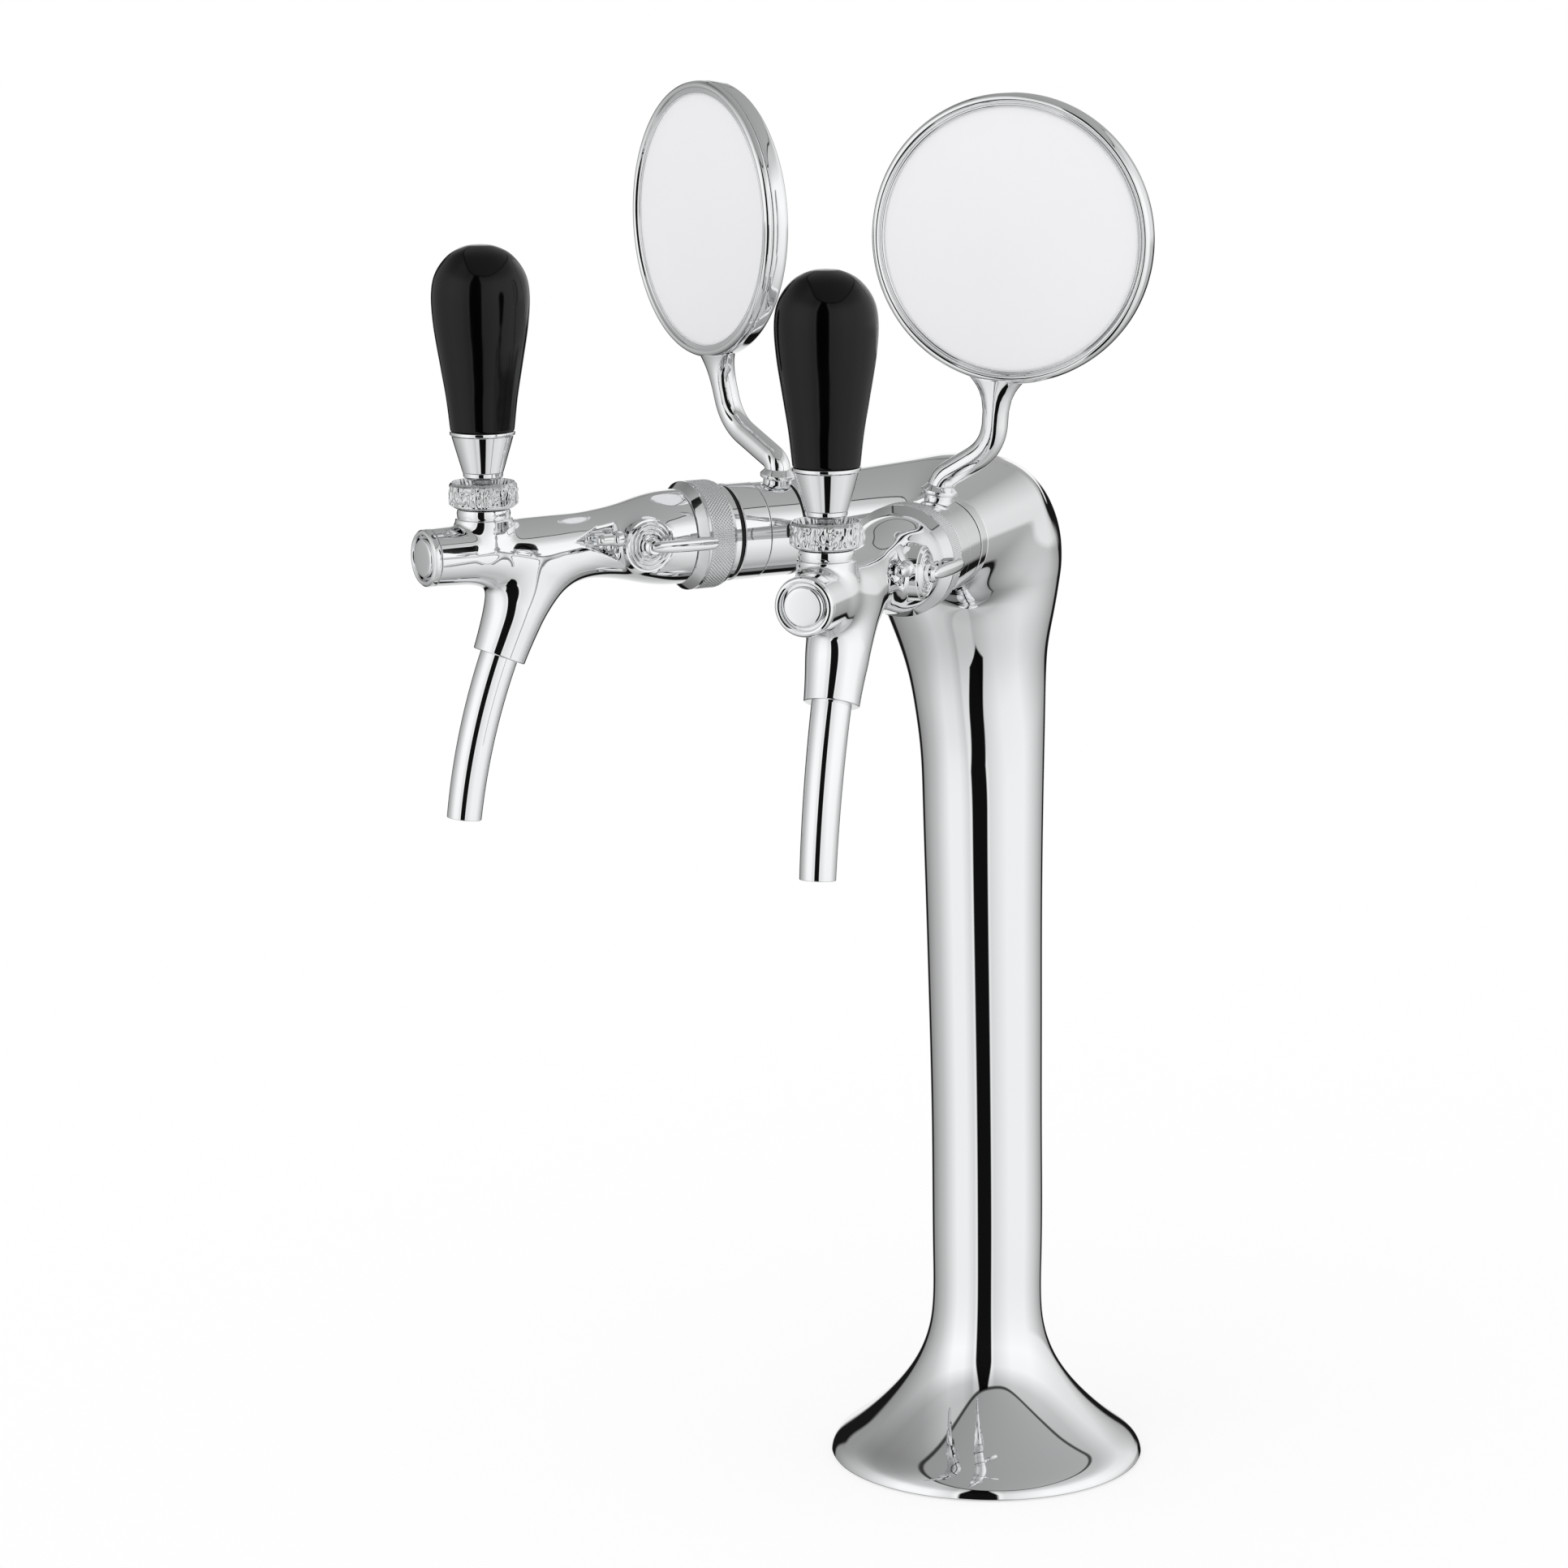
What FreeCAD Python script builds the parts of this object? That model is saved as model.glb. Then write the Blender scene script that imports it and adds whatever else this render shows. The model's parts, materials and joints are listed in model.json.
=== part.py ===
"""Twin-tap beer tower: a chrome-plated "cobra" column that splits into two arms, each with a
compensator tap and a round badge on a bent stem.

Frame: millimetres, +Z up, origin at the centre of the foot's underside. -Y is the front: it
halves the angle between the two arms. "Left" is the -X side.

Tap frame, used for everything on one arm: origin where the collar meets the badge ring, X outward
along the tap, Z up, Y to the left of someone looking out along the tap.
"""
import FreeCAD, Part
import math
import os

Vec = FreeCAD.Vector
ORIGIN = Vec(0, 0, 0)
X_AXIS = Vec(1, 0, 0)
Z_AXIS = Vec(0, 0, 1)

# ---- driving dimensions -------------------------------------------------------------------
tap_height = 367.0          # tap axis above the bar top
arm_half_angle = 20.3       # each arm from the front, degrees
arm_offset = 4.9            # arm line beside the column's axis
arm_reach = 101.9           # column axis to the tap frame's origin, along the arm
arm_end_radius = 17.4       # arm, badge ring
arm_root_radius = 21.5
wall = 2.8                  # casting wall

foot_radius = 59.9
foot_lift = 0.4             # metal rim above the bar, so that the foot stands on its plate
tube_radius = 21.0
tube_start = 62.0           # top of the trumpet foot
neck_top = 287.0
neck_lean = 5.3             # how far the tube's centre leans forward at the neck
neck_swell = 2.75           # how much the tube's radius grows up to the neck
head_radius = 27.5          # round top of the head
head_forward = 9.0          # its centre, in front of the column's axis
head_height = 362.4
nape_radius = 24.7          # back of the head
nape_forward = 3.5
arm_root = 20.0             # where an arm starts, in front of the column's axis

flange_radius = 46.0
flange_step_radius = 48.4
gasket_radius = 54.4
flange_thickness = 8.0
flange_step = 3.0           # lower step, which the gasket surrounds
line_hole_radius = 21.0
bolt_circle_radius = 33.0   # four M8 holes that take the bar's bolts
bolt_hole_radius = 3.4
screw_circle_radius = 40.0  # four M5 screws that hold the flange to the casting
screw_radius = 2.5

badge_ring_length = 22.0
seal_groove_rear = -14.9    # black ring round the badge ring
seal_groove_width = 1.3
seal_groove_radius = 15.7
collar_radius = 17.6
collar_length = 10.8
nut_rear = 15.1
nut_front = 29.8
nut_radius = 19.6
coupling_radius = 11.4      # G5/8 shank thread
body_rear = 30.2
body_front = 128.2
front_face = 131.2
front_radius = 9.8
running_gap = 0.05          # radial clearance of a running fit
slip = 0.3                  # gap between pieces that pass each other

handle_x = 107.0            # lever axis
ball_height = 19.5          # lever pivot above the tap axis
ball_radius = 6.0
lever_tip_height = 5.5      # lever's lower ball, in the plunger's slot
lock_nut_bottom = 16.3
lock_nut_top = 25.3
lock_nut_radius = 12.2
ferrule_bottom = 26.4
knob_bottom = 43.2
knob_top = 108.2
knob_radius = 17.2

spout_angle = 22.0          # socket's axis from the vertical, degrees
spout_end_angle = 7.0       # outlet's axis from the vertical
socket_x = 101.9
socket_z = -37.4
socket_radius = 9.5
spout_radius = 6.8
spout_tip_radius = 6.2
spout_bore = 4.8
spout_bend = 225.0          # radius of the spout's curve

compensator_x = 49.5
boss_radius = 9.5
boss_face = 15.8            # boss face from the tap axis
crank = 2.0                 # eccentric pin from the compensator's axis
crank_pin_radius = 1.1
pin_side = 13.0             # stop pin beside and above the tap axis
pin_height = 3.0
pocket_rear = 58.5          # wedge-shaped pocket round the stop pin
pocket_front = 76.0
pocket_half_height = 7.6
pocket_floor = 9.4          # from the tap axis
lever_length = 24.5
lever_inner = 20.3          # lever blade, clear of the union nut
lever_outer = 23.7

badge_radius = 50.1
badge_depth = 10.4
badge_front = 2.7           # badge face, along the tap
badge_side = 31.5           # badge centre beside the tap axis, away from the other badge
badge_height = 110.0        # badge centre above the tap axis
badge_window = 45.5
badge_foot_x = -11.0
badge_foot_turn = 8.0       # foot turned round the ring from the top, degrees
badge_stud_radius = 2.4     # plain stud in the ring's boss
stem_radius = 4.6

line_radius = 4.75          # 9.5 mm beer line
line_spigot_radius = 4.0
line_bottom = 4.0
line_bore = 3.0
line_top_bend = 24.0

coolant_radius = 3.0        # coolant pipe
coolant_bore = 2.2
coolant_half_gap = 5.0      # half the distance between its two legs
coolant_back = 8.0          # behind the column's axis
coolant_top = 340.0
sleeve_radius = 16.0        # insulation round the lines
sleeve_top = 160.0


# ---- shape helpers ------------------------------------------------------------------------
def upright(shape):
    """The same solid with its faces pointing outward."""
    if shape.Volume < 0:
        shape.reverse()
    return shape


def turned(axis, *steps):
    """Solid turned about X or Z. A step is an (along, radius) point, or a list of such points
    for one smooth curve; the outline closes by itself."""
    def place(point):
        along, radius = point
        return Vec(along, 0, radius) if axis == X_AXIS else Vec(radius, 0, along)

    edges = []
    pen = steps[0]
    for step in steps[1:] + (steps[0],):
        run = step if isinstance(step, list) else [step]
        points = [place(point) for point in [pen] + run]
        if len(points) == 2:
            edges.append(Part.LineSegment(points[0], points[1]).toShape())
        else:
            curve = Part.BSplineCurve()
            curve.interpolate(points)
            edges.append(curve.toShape())
        pen = run[-1]
    return upright(Part.Face(Part.Wire(edges)).revolve(ORIGIN, axis, 360))


def rod(radius, start, end):
    """Round rod between two points."""
    along = end - start
    return Part.makeCylinder(radius, along.Length, start, along)


def ring(outer, inner, start, end):
    """Round ring between two points on its axis."""
    return rod(outer, start, end).cut(rod(inner, start, end))


def ring_x(outer, inner, start, end):
    return ring(outer, inner, Vec(start, 0, 0), Vec(end, 0, 0))


def round_loft(stations):
    """Solid through circles, each given as (centre, direction, radius)."""
    wires = [Part.Wire(Part.makeCircle(radius, centre, direction))
             for centre, direction, radius in stations]
    return upright(Part.makeLoft(wires, True))


def bent_path(points, bends):
    """Wire of straight runs joined by tangent arcs, one bend radius per inner point."""
    edges = []
    pen = points[0]
    for before, corner, after, bend in zip(points, points[1:], points[2:], bends):
        back = (before - corner).normalize()
        ahead = (after - corner).normalize()
        half_turn = (math.pi - back.getAngle(ahead)) / 2
        reach = bend * math.tan(half_turn)
        first = corner + back * reach
        last = corner + ahead * reach
        inward = (back + ahead).normalize()
        middle = corner + inward * (bend / math.cos(half_turn) - bend)
        edges.append(Part.LineSegment(pen, first).toShape())
        edges.append(Part.Arc(first, middle, last).toShape())
        pen = last
    edges.append(Part.LineSegment(pen, points[-1]).toShape())
    return Part.Wire(edges)


def swept(path, radius):
    """Round bar along a path."""
    start = path.OrderedEdges[0]
    section = Part.Wire(Part.makeCircle(radius, start.valueAt(start.FirstParameter),
                                        start.tangentAt(start.FirstParameter)))
    return upright(path.makePipeShell([section], True, True))


def fused(shapes):
    return shapes[0].multiFuse(shapes[1:]).removeSplitter()


# ---- placing the tap frame ----------------------------------------------------------------
SIDES = {"left": -1, "right": 1}


def tap_placement(side):
    """Where a side's tap frame stands in the tower's frame."""
    turn = FreeCAD.Rotation(Z_AXIS, -90 + SIDES[side] * arm_half_angle)
    corner = Vec(arm_reach, SIDES[side] * arm_offset, 0)
    return FreeCAD.Placement(turn.multVec(corner) + Vec(0, 0, tap_height), turn)


def on_arm(shape, side):
    """A shape from the tap frame, set on one arm."""
    placed = shape.copy()
    placed.Placement = tap_placement(side).multiply(placed.Placement)
    return placed


# ---- column -------------------------------------------------------------------------------
def trumpet_foot(offset):
    """Flared foot, up to the tube; offset moves the surface inward."""
    rim = foot_radius - offset
    top = tube_radius - offset
    drop = offset * 0.5
    outline = [(5.0 - drop, rim - 1.8), (10.8 - drop, rim - 8.7), (18.3 - drop, rim - 17.5),
               (25.2 - drop, rim - 24.2), (35.0, top + 7.4), (44.6, top + 2.9), (53.0, top + 0.8),
               (tube_start, top)]
    bottom = foot_lift if offset == 0 else 0
    return turned(Z_AXIS, (bottom, 0), (bottom, rim - 1.0), (bottom + 1.0, rim), outline,
                  (tube_start, 0))


def leaning(angle):
    """Unit vector up and forward at an angle from the vertical."""
    lean = math.radians(angle)
    return Vec(0, -math.sin(lean), math.cos(lean))


def neck_and_head(offset):
    """Solids of the tube that swells and leans forward, the nape above it, the throat that
    sweeps out between the arms, and the round head."""
    steps = 5
    tube = []
    for step in range(steps + 1):
        share = step / steps
        centre = Vec(0, -neck_lean * share ** 1.6, tube_start + (neck_top - tube_start) * share)
        tube.append((centre, Z_AXIS, tube_radius + neck_swell * share ** 2.2 - offset))
    throat = [(270.0, 4.8, 4, 22.3), (294.0, 7.4, 10, 24.1), (317.0, 12.2, 22, 25.2),
              (336.0, 21.5, 40, 24.8), (350.0, 36.0, 62, 22.4), (357.0, 51.0, 80, 18.5)]
    if offset > 0:
        throat = throat[:-1]
    sweep = [(Vec(0, -forward, height), leaning(lean), radius - offset)
             for height, forward, lean, radius in throat]
    nape_centre = Vec(0, -nape_forward, head_height)
    nape = [(Vec(0, -neck_lean + 0.6, neck_top - 17), Z_AXIS, tube_radius + neck_swell - 0.9 - offset),
            (nape_centre, Z_AXIS, nape_radius - offset)]
    nape_top = Part.makeSphere(nape_radius + 0.2 - offset, nape_centre)
    head = Part.makeSphere(head_radius - offset, Vec(0, -head_forward, head_height))
    return [round_loft(tube), round_loft(nape), round_loft(sweep), nape_top, head]


def arm(offset, end):
    """Tapered arm in the tap frame, from its round root in the head to a station along the tap."""
    start = arm_root - arm_reach
    taper = (arm_end_radius - arm_root_radius) / (-badge_ring_length - start)
    end_radius = arm_root_radius + taper * (end - start) - offset
    cone = Part.makeCone(arm_root_radius - offset, end_radius, end - start, Vec(start, 0, 0), X_AXIS)
    return cone.fuse(Part.makeSphere(arm_root_radius - offset, Vec(start, 0, 0)))


def tower_column():
    """Hollow casting: foot, tube, head and both arms, with screw bosses inside the foot."""
    outside = [trumpet_foot(0)] + neck_and_head(0)
    inside = [trumpet_foot(wall)] + neck_and_head(wall)
    spigots = []
    bores = []
    for side in SIDES:
        outside.append(on_arm(arm(0, -badge_ring_length), side))
        inside.append(on_arm(arm(wall, -33.0), side))
        spigot = rod(14.0, Vec(-badge_ring_length, 0, 0), Vec(-0.6, 0, 0))
        spigots.append(on_arm(spigot, side))
        bores.append(on_arm(rod(10.45, Vec(-34.0, 0, 0), Vec(0, 0, 0)), side))
    solid = outside[0]
    for addition in outside[1:]:
        solid = solid.fuse(addition)
    bosses = []
    for turn in range(4):
        spot = Vec(screw_circle_radius, 0, flange_thickness)
        spot = FreeCAD.Rotation(Z_AXIS, 90 * turn).multVec(spot)
        bosses.append(rod(5.5, spot, spot + Vec(0, 0, 30)).common(solid))
        bores.append(rod(screw_radius + running_gap, spot, spot + Vec(0, 0, 8)))
    for hollow in inside:
        solid = solid.cut(hollow)
    for addition in spigots + bosses:
        solid = solid.fuse(addition)
    return solid.cut(Part.makeCompound(bores))


# ---- foot hardware ------------------------------------------------------------------------
def around(shape, count, first_angle):
    """Copies of a shape spread evenly round the Z axis."""
    copies = []
    for index in range(count):
        copy = shape.copy()
        copy.rotate(ORIGIN, Z_AXIS, first_angle + index * 360.0 / count)
        copies.append(copy)
    return Part.makeCompound(copies)


def flange_screw():
    """Countersunk M5 screw, head down, in place on the +X side."""
    spot = Vec(screw_circle_radius, 0, 0)
    head = Part.makeCone(4.9, screw_radius, 2.4, spot + Vec(0, 0, 0.3), Z_AXIS)
    shank = rod(screw_radius, spot + Vec(0, 0, 2.7), spot + Vec(0, 0, 15.0))
    drive = Part.makeBox(6.0, 1.0, 1.2, spot + Vec(-3.0, -0.5, 0.3))
    return head.fuse(shank).cut(drive)


def base_flange():
    """Stepped steel plate that the bar's bolts pull down on."""
    plate = rod(flange_radius, ORIGIN, Vec(0, 0, flange_thickness))
    step = rod(flange_step_radius, Vec(0, 0, flange_step), Vec(0, 0, flange_thickness))
    spot = Vec(screw_circle_radius, 0, 0)
    screw_hole = rod(screw_radius + 0.2, spot, spot + Vec(0, 0, flange_thickness))
    sink = Part.makeCone(5.4, screw_radius + 0.2, 2.9, spot, Z_AXIS)
    bolt_spot = Vec(bolt_circle_radius, 0, 0)
    bolt_hole = rod(bolt_hole_radius, bolt_spot, bolt_spot + Vec(0, 0, flange_thickness))
    line_hole = rod(line_hole_radius, ORIGIN, Vec(0, 0, flange_thickness))
    return plate.fuse(step).removeSplitter().cut(Part.makeCompound([
        around(screw_hole.fuse(sink), 4, 0), around(bolt_hole, 4, 45), line_hole]))


def base_gasket():
    """Rubber ring between the flange's step and the bar."""
    return ring(gasket_radius, flange_radius + 0.2, ORIGIN, Vec(0, 0, flange_step))


# ---- what runs inside the column ----------------------------------------------------------
def beer_line(side):
    """Stainless line from the foot, up the column and out along the arm to the shank."""
    column_x = -arm_reach + 6.0
    shank_tail = -26.2
    bottom = line_bottom - tap_height
    points = [Vec(column_x, 0, bottom + 16.0), Vec(column_x, 0, 0), Vec(shank_tail, 0, 0)]
    path = bent_path(points, [line_top_bend])
    spigot = ring(line_spigot_radius, line_bore, Vec(column_x, 0, bottom), points[0])
    tube = swept(path, line_radius).cut(swept(path, line_bore))
    return on_arm(tube.fuse(spigot), side)


def cooling_loop():
    """Coolant pipe that runs up the column, turns over and runs back down."""
    points = [Vec(-coolant_half_gap, coolant_back, line_bottom),
              Vec(-coolant_half_gap, coolant_back, coolant_top),
              Vec(coolant_half_gap, coolant_back, coolant_top),
              Vec(coolant_half_gap, coolant_back, line_bottom)]
    bend = coolant_half_gap - 0.05
    path = bent_path(points, [bend, bend])
    return swept(path, coolant_radius).cut(swept(path, coolant_bore))


def insulation_sleeve():
    """Foam tube round the lines, inside the straight part of the column."""
    return ring(sleeve_radius, sleeve_radius - 2.0, Vec(0, 0, tube_start + 4.0), Vec(0, 0, sleeve_top))


# ---- arm end and union --------------------------------------------------------------------
def shank():
    """Threaded tube that screws into the arm and carries the tap."""
    return turned(X_AXIS, (-26.0, 4.9), (-26.0, 10.4), (collar_length + 0.1, 10.4),
                  (collar_length + 0.1, coupling_radius), (24.0, coupling_radius), (24.0, 4.9))


def badge_ring():
    """Ring clamped on the arm's spigot, with a small boss for the badge's foot."""
    body = rod(arm_end_radius, Vec(0.1 - badge_ring_length, 0, 0), Vec(-0.1, 0, 0))
    body = body.makeFillet(0.6, [edge for edge in body.Edges if edge.Curve.TypeId == "Part::GeomCircle"])
    boss = rod(5.2, Vec(badge_foot_x, 0, 12.0), Vec(badge_foot_x, 0, 18.9))
    stud_hole = rod(badge_stud_radius + running_gap, Vec(badge_foot_x, 0, 14.5), Vec(badge_foot_x, 0, 20.0))
    boss.rotate(ORIGIN, X_AXIS, -badge_foot_turn)
    stud_hole.rotate(ORIGIN, X_AXIS, -badge_foot_turn)
    screw_hole = rod(2.0, Vec(badge_foot_x, 0, -10.0), Vec(badge_foot_x, 0, -20.0))
    bore = rod(14.05, Vec(-30, 0, 0), Vec(5, 0, 0))
    groove = ring_x(17.5, seal_groove_radius, seal_groove_rear, seal_groove_rear + seal_groove_width)
    return body.fuse(boss).cut(Part.makeCompound([bore, groove, stud_hole, screw_hole]))


def badge_set_screw():
    """Grub screw that pins the badge ring to the spigot."""
    shank_part = rod(1.95, Vec(badge_foot_x, 0, -14.1), Vec(badge_foot_x, 0, -17.2))
    socket = Part.makeBox(1.6, 1.6, 1.6, Vec(badge_foot_x - 0.8, -0.8, -17.6))
    return shank_part.cut(socket)


def collar():
    """Polished collar, with a small chamfer at each end."""
    body = turned(X_AXIS, (0.0, 10.45), (0.0, collar_radius - 0.5), (0.5, collar_radius),
                  (collar_length - 0.5, collar_radius), (collar_length, collar_radius - 0.5),
                  (collar_length, 10.45))
    return body


def collar_seal():
    """Black rubber ring in front of the collar, and the one in the badge ring's groove."""
    front = ring_x(17.0, coupling_radius + 0.1, collar_length + 0.1, 12.7)
    rear = ring_x(seal_groove_radius + 1.2, seal_groove_radius + 0.1, seal_groove_rear + 0.05,
                  seal_groove_rear + seal_groove_width - 0.05)
    return Part.makeCompound([front, rear])


def clamp_washer():
    return ring_x(17.9, coupling_radius + 0.1, 12.8, 14.7)


def tail_washer():
    return ring_x(11.0, 8.3, 24.05, 24.55)


def union_nut():
    """Nut that pulls the tap onto the shank; its front lip bears on the snap ring."""
    return turned(X_AXIS, (nut_rear, coupling_radius + running_gap), (nut_rear, nut_radius - 0.8),
                  (nut_rear + 0.8, nut_radius), (nut_front - 2.2, nut_radius), (nut_front, nut_radius - 2.2),
                  (nut_front, coupling_radius + running_gap), (28.0, coupling_radius + running_gap),
                  (28.0, 13.3), (23.6, 13.3), (23.6, coupling_radius + running_gap))


def nut_snap_ring():
    return ring_x(12.8, 10.65, 26.6, 27.8)


# ---- tap body -----------------------------------------------------------------------------
def spout_direction(angle):
    """Unit vector down and outward at an angle from the vertical."""
    lean = math.radians(angle)
    return Vec(math.sin(lean), 0, -math.cos(lean))


def tap_body():
    """Cast body: horizontal barrel, lever neck, spout socket and compensator boss."""
    barrel = turned(X_AXIS, (24.6, 0), (24.6, 11.2), (body_rear, 11.2), (body_rear, 16.4),
                    (body_rear + 0.7, 17.1),
                    [(38.0, 16.9), (45.0, 15.6), (53.0, 13.8), (63.0, 12.2), (79.0, 11.1),
                     (96.0, 11.0), (112.0, 10.6), (body_front, 10.1)],
                    (body_front, 0))
    neck = fused([rod(10.0, Vec(handle_x, 0, 0), Vec(handle_x, 0, 12.4)),
                  rod(9.6, Vec(handle_x, 0, 12.4), Vec(handle_x, 0, 16.2)),
                  rod(8.9, Vec(handle_x, 0, 16.2), Vec(handle_x, 0, 21.4))])
    down = spout_direction(spout_angle)
    socket_end = Vec(socket_x, 0, socket_z)
    socket_radii = [socket_radius, 9.8, 9.65, 10.05, 10.1, 10.3]
    socket = round_loft([(socket_end - down * 8.0 * step, down, radius)
                         for step, radius in enumerate(socket_radii)])
    heel = round_loft([(Vec(62, 0, -1.4), X_AXIS, 10.6), (Vec(75, 0, -4.2), spout_direction(70), 10.4),
                       (Vec(86.5, 0, -11.5), spout_direction(42), 9.8),
                       (Vec(94.5, 0, -23.5), down, 9.3)])
    boss = rod(boss_radius, Vec(compensator_x, 0, 0), Vec(compensator_x, boss_face, 0))
    return fused([barrel, neck, socket, heel, boss]).cut(tap_hollows())


def tap_hollows():
    """Everything that is bored out of the tap body."""
    flow = turned(X_AXIS, (20.0, 0), (20.0, 8.2), (54.0, 8.2), (62.0, 6.9), (80.0, 6.9), (80.0, 5.2),
                  (82.5, 5.2), (82.5, 7.0), (112.0, 7.0), (112.0, 7.3), (121.0, 7.3), (121.0, 8.4),
                  (135.0, 8.4), (135.0, 0))
    down = spout_direction(spout_angle)
    socket_end = Vec(socket_x, 0, socket_z)
    outlet = rod(5.0, socket_end - down * 37, socket_end)
    spout_seat = rod(spout_radius + running_gap, socket_end - down * 13, socket_end + down * 5)
    lever_bore = rod(7.2, Vec(handle_x, 0, 0), Vec(handle_x, 0, 25))
    finger_slot = Part.makeBox(8.6, 5.8, 7.4, Vec(handle_x - 8.6, -2.9, 4.0))
    crank_bore = rod(3.4 + running_gap, Vec(compensator_x, 5, 0), Vec(compensator_x, 20, 0))
    cap_seat = rod(8.65, Vec(compensator_x, 14.9, 0), Vec(compensator_x, 20, 0))
    pin_hole = rod(1.75, Vec(54.0, pin_side, pin_height), Vec(64.0, pin_side, pin_height))
    pocket_edge = Part.makePolygon([
        Vec(pocket_rear, pocket_floor, pin_height - pocket_half_height),
        Vec(pocket_rear, pocket_floor, pin_height + pocket_half_height),
        Vec(pocket_front, pocket_floor, pin_height),
        Vec(pocket_rear, pocket_floor, pin_height - pocket_half_height)])
    pocket = Part.Face(pocket_edge).extrude(Vec(0, 10, 0))
    snap_groove = ring_x(12.0, 10.6, 26.5, 27.9)
    return Part.makeCompound([flow, outlet, spout_seat, lever_bore, finger_slot, crank_bore, cap_seat,
                              pin_hole, pocket, snap_groove])


def spout_arc():
    """Circles along the spout's visible curve: centre, direction and share of its length."""
    entry = Vec(socket_x, 0, socket_z)
    down = spout_direction(spout_angle)
    centre = entry + Vec(down.z, 0, -down.x) * spout_bend
    stations = []
    steps = 6
    for step in range(steps + 1):
        angle = spout_angle + (spout_end_angle - spout_angle) * step / steps
        direction = spout_direction(angle)
        inward = Vec(direction.z, 0, -direction.x)
        stations.append((centre - inward * spout_bend, direction, step / steps))
    return stations


def spout_tube():
    """Drawn tube, straight inside the socket, that narrows a little towards the outlet."""
    entry = Vec(socket_x, 0, socket_z)
    inner_end = entry - spout_direction(spout_angle) * 12.5
    outer = [(centre, direction, spout_radius + (spout_tip_radius - spout_radius) * share)
             for centre, direction, share in spout_arc()]
    bore = [(centre, direction, spout_bore) for centre, direction, share in spout_arc()]
    return fused([round_loft(outer).cut(round_loft(bore)), ring(spout_radius, spout_bore, inner_end, entry)])


def spout_seal():
    """O-ring above the spout's inner end."""
    down = spout_direction(spout_angle)
    entry = Vec(socket_x, 0, socket_z)
    return ring(6.75, spout_bore, entry - down * 12.95, entry - down * 12.55)


def front_bush():
    """Bush that closes the barrel and guides the plunger's button."""
    return turned(X_AXIS, (121.2, 6.9 + running_gap), (121.2, 8.35), (body_front + 0.1, 8.35),
                  (body_front + 0.1, front_radius + 0.1),
                  [(body_front + 0.8, front_radius + 0.3), (front_face - 0.9, front_radius),
                   (front_face, front_radius - 1.0)],
                  (front_face - 0.2, 8.1), (128.8, 7.9), (128.8, 6.9 + running_gap))


# ---- plunger and lever --------------------------------------------------------------------
def plunger():
    """Sliding shaft: valve stem, slotted block for the lever, guide."""
    shaft = turned(X_AXIS, (74.6, 0), (74.6, 3.0), (79.9, 3.0), (79.9, 3.5), (99.0, 3.5), (99.0, 6.3),
                   (115.0, 6.3), (115.0, 3.5), (125.0, 3.5), (125.0, 0))
    slot = Part.makeBox(6.4, 6.4, 8.0, Vec(handle_x - 3.2, -3.2, 1.8))
    return shaft.cut(slot)


def plunger_seal():
    """Rubber face that closes on the seat."""
    return turned(X_AXIS, (74.8, 3.05), (74.8, 5.6), (76.2, 6.6), (79.7, 6.6), (79.7, 3.05))


def front_button():
    """Domed end of the plunger, seen in the bush."""
    return turned(X_AXIS, (123.2, 3.55), (123.2, 6.9), (130.4, 6.9),
                  [(131.0, 6.3), (131.35, 4.4), (131.6, 0)], (125.1, 0), (125.1, 3.55))


def handle_lever():
    """Ball lever: threaded rod above the ball, finger with a small ball below it."""
    pivot = Vec(handle_x, 0, ball_height)
    tip = Vec(handle_x, 0, lever_tip_height)
    return fused([Part.makeSphere(ball_radius, pivot), Part.makeSphere(2.5, tip),
                  rod(2.1, tip, pivot), rod(3.0, pivot, Vec(handle_x, 0, 57.0))])


def ball_seat():
    """Plastic cup that the ball turns in."""
    cup = rod(7.15, Vec(handle_x, 0, 13.0), Vec(handle_x, 0, 21.4))
    cup = cup.cut(Part.makeSphere(ball_radius + 0.1, Vec(handle_x, 0, ball_height)))
    return cup.cut(Part.makeCone(5.9, 4.6, 6.0, Vec(handle_x, 0, 12.5), Z_AXIS)).cut(
        rod(6.1, Vec(handle_x, 0, ball_height), Vec(handle_x, 0, 25)))


def moved_to_handle(shape):
    shape.translate(Vec(handle_x, 0, 0))
    return shape


def lock_nut():
    """Knurled nut over the ball, dished so that the ferrule can tilt."""
    body = turned(Z_AXIS, (lock_nut_bottom, 8.95), (lock_nut_bottom, lock_nut_radius - 1.2),
                  (lock_nut_bottom + 1.2, lock_nut_radius), (lock_nut_top - 1.2, lock_nut_radius),
                  (lock_nut_top, lock_nut_radius - 1.2), (lock_nut_top, 10.95), (22.8, 10.2), (22.8, 5.4),
                  (21.6, 6.0), (21.6, 8.95))
    return moved_to_handle(body).cut(Part.makeSphere(ball_radius + slip, Vec(handle_x, 0, ball_height)))


def ferrule():
    """Chrome cone between the lock nut and the knob."""
    return moved_to_handle(turned(Z_AXIS, (ferrule_bottom, 3.05), (ferrule_bottom, 6.0),
                                  (ferrule_bottom + 1.0, 7.0), (29.0, 7.2), (42.0, 11.1), (42.3, 11.5),
                                  (knob_bottom, 11.5), (knob_bottom, 3.05)))


def knob():
    """Pear-shaped plastic knob with a threaded hole."""
    return moved_to_handle(turned(Z_AXIS, (knob_bottom + 0.1, 3.05), (knob_bottom + 0.1, 11.0),
                                  [(55.0, 12.8), (66.0, 14.5), (80.0, 16.7), (91.5, knob_radius),
                                   (99.5, 15.2), (105.6, 9.6), (knob_top, 0)],
                                  (58.0, 0), (58.0, 3.05)))


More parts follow.
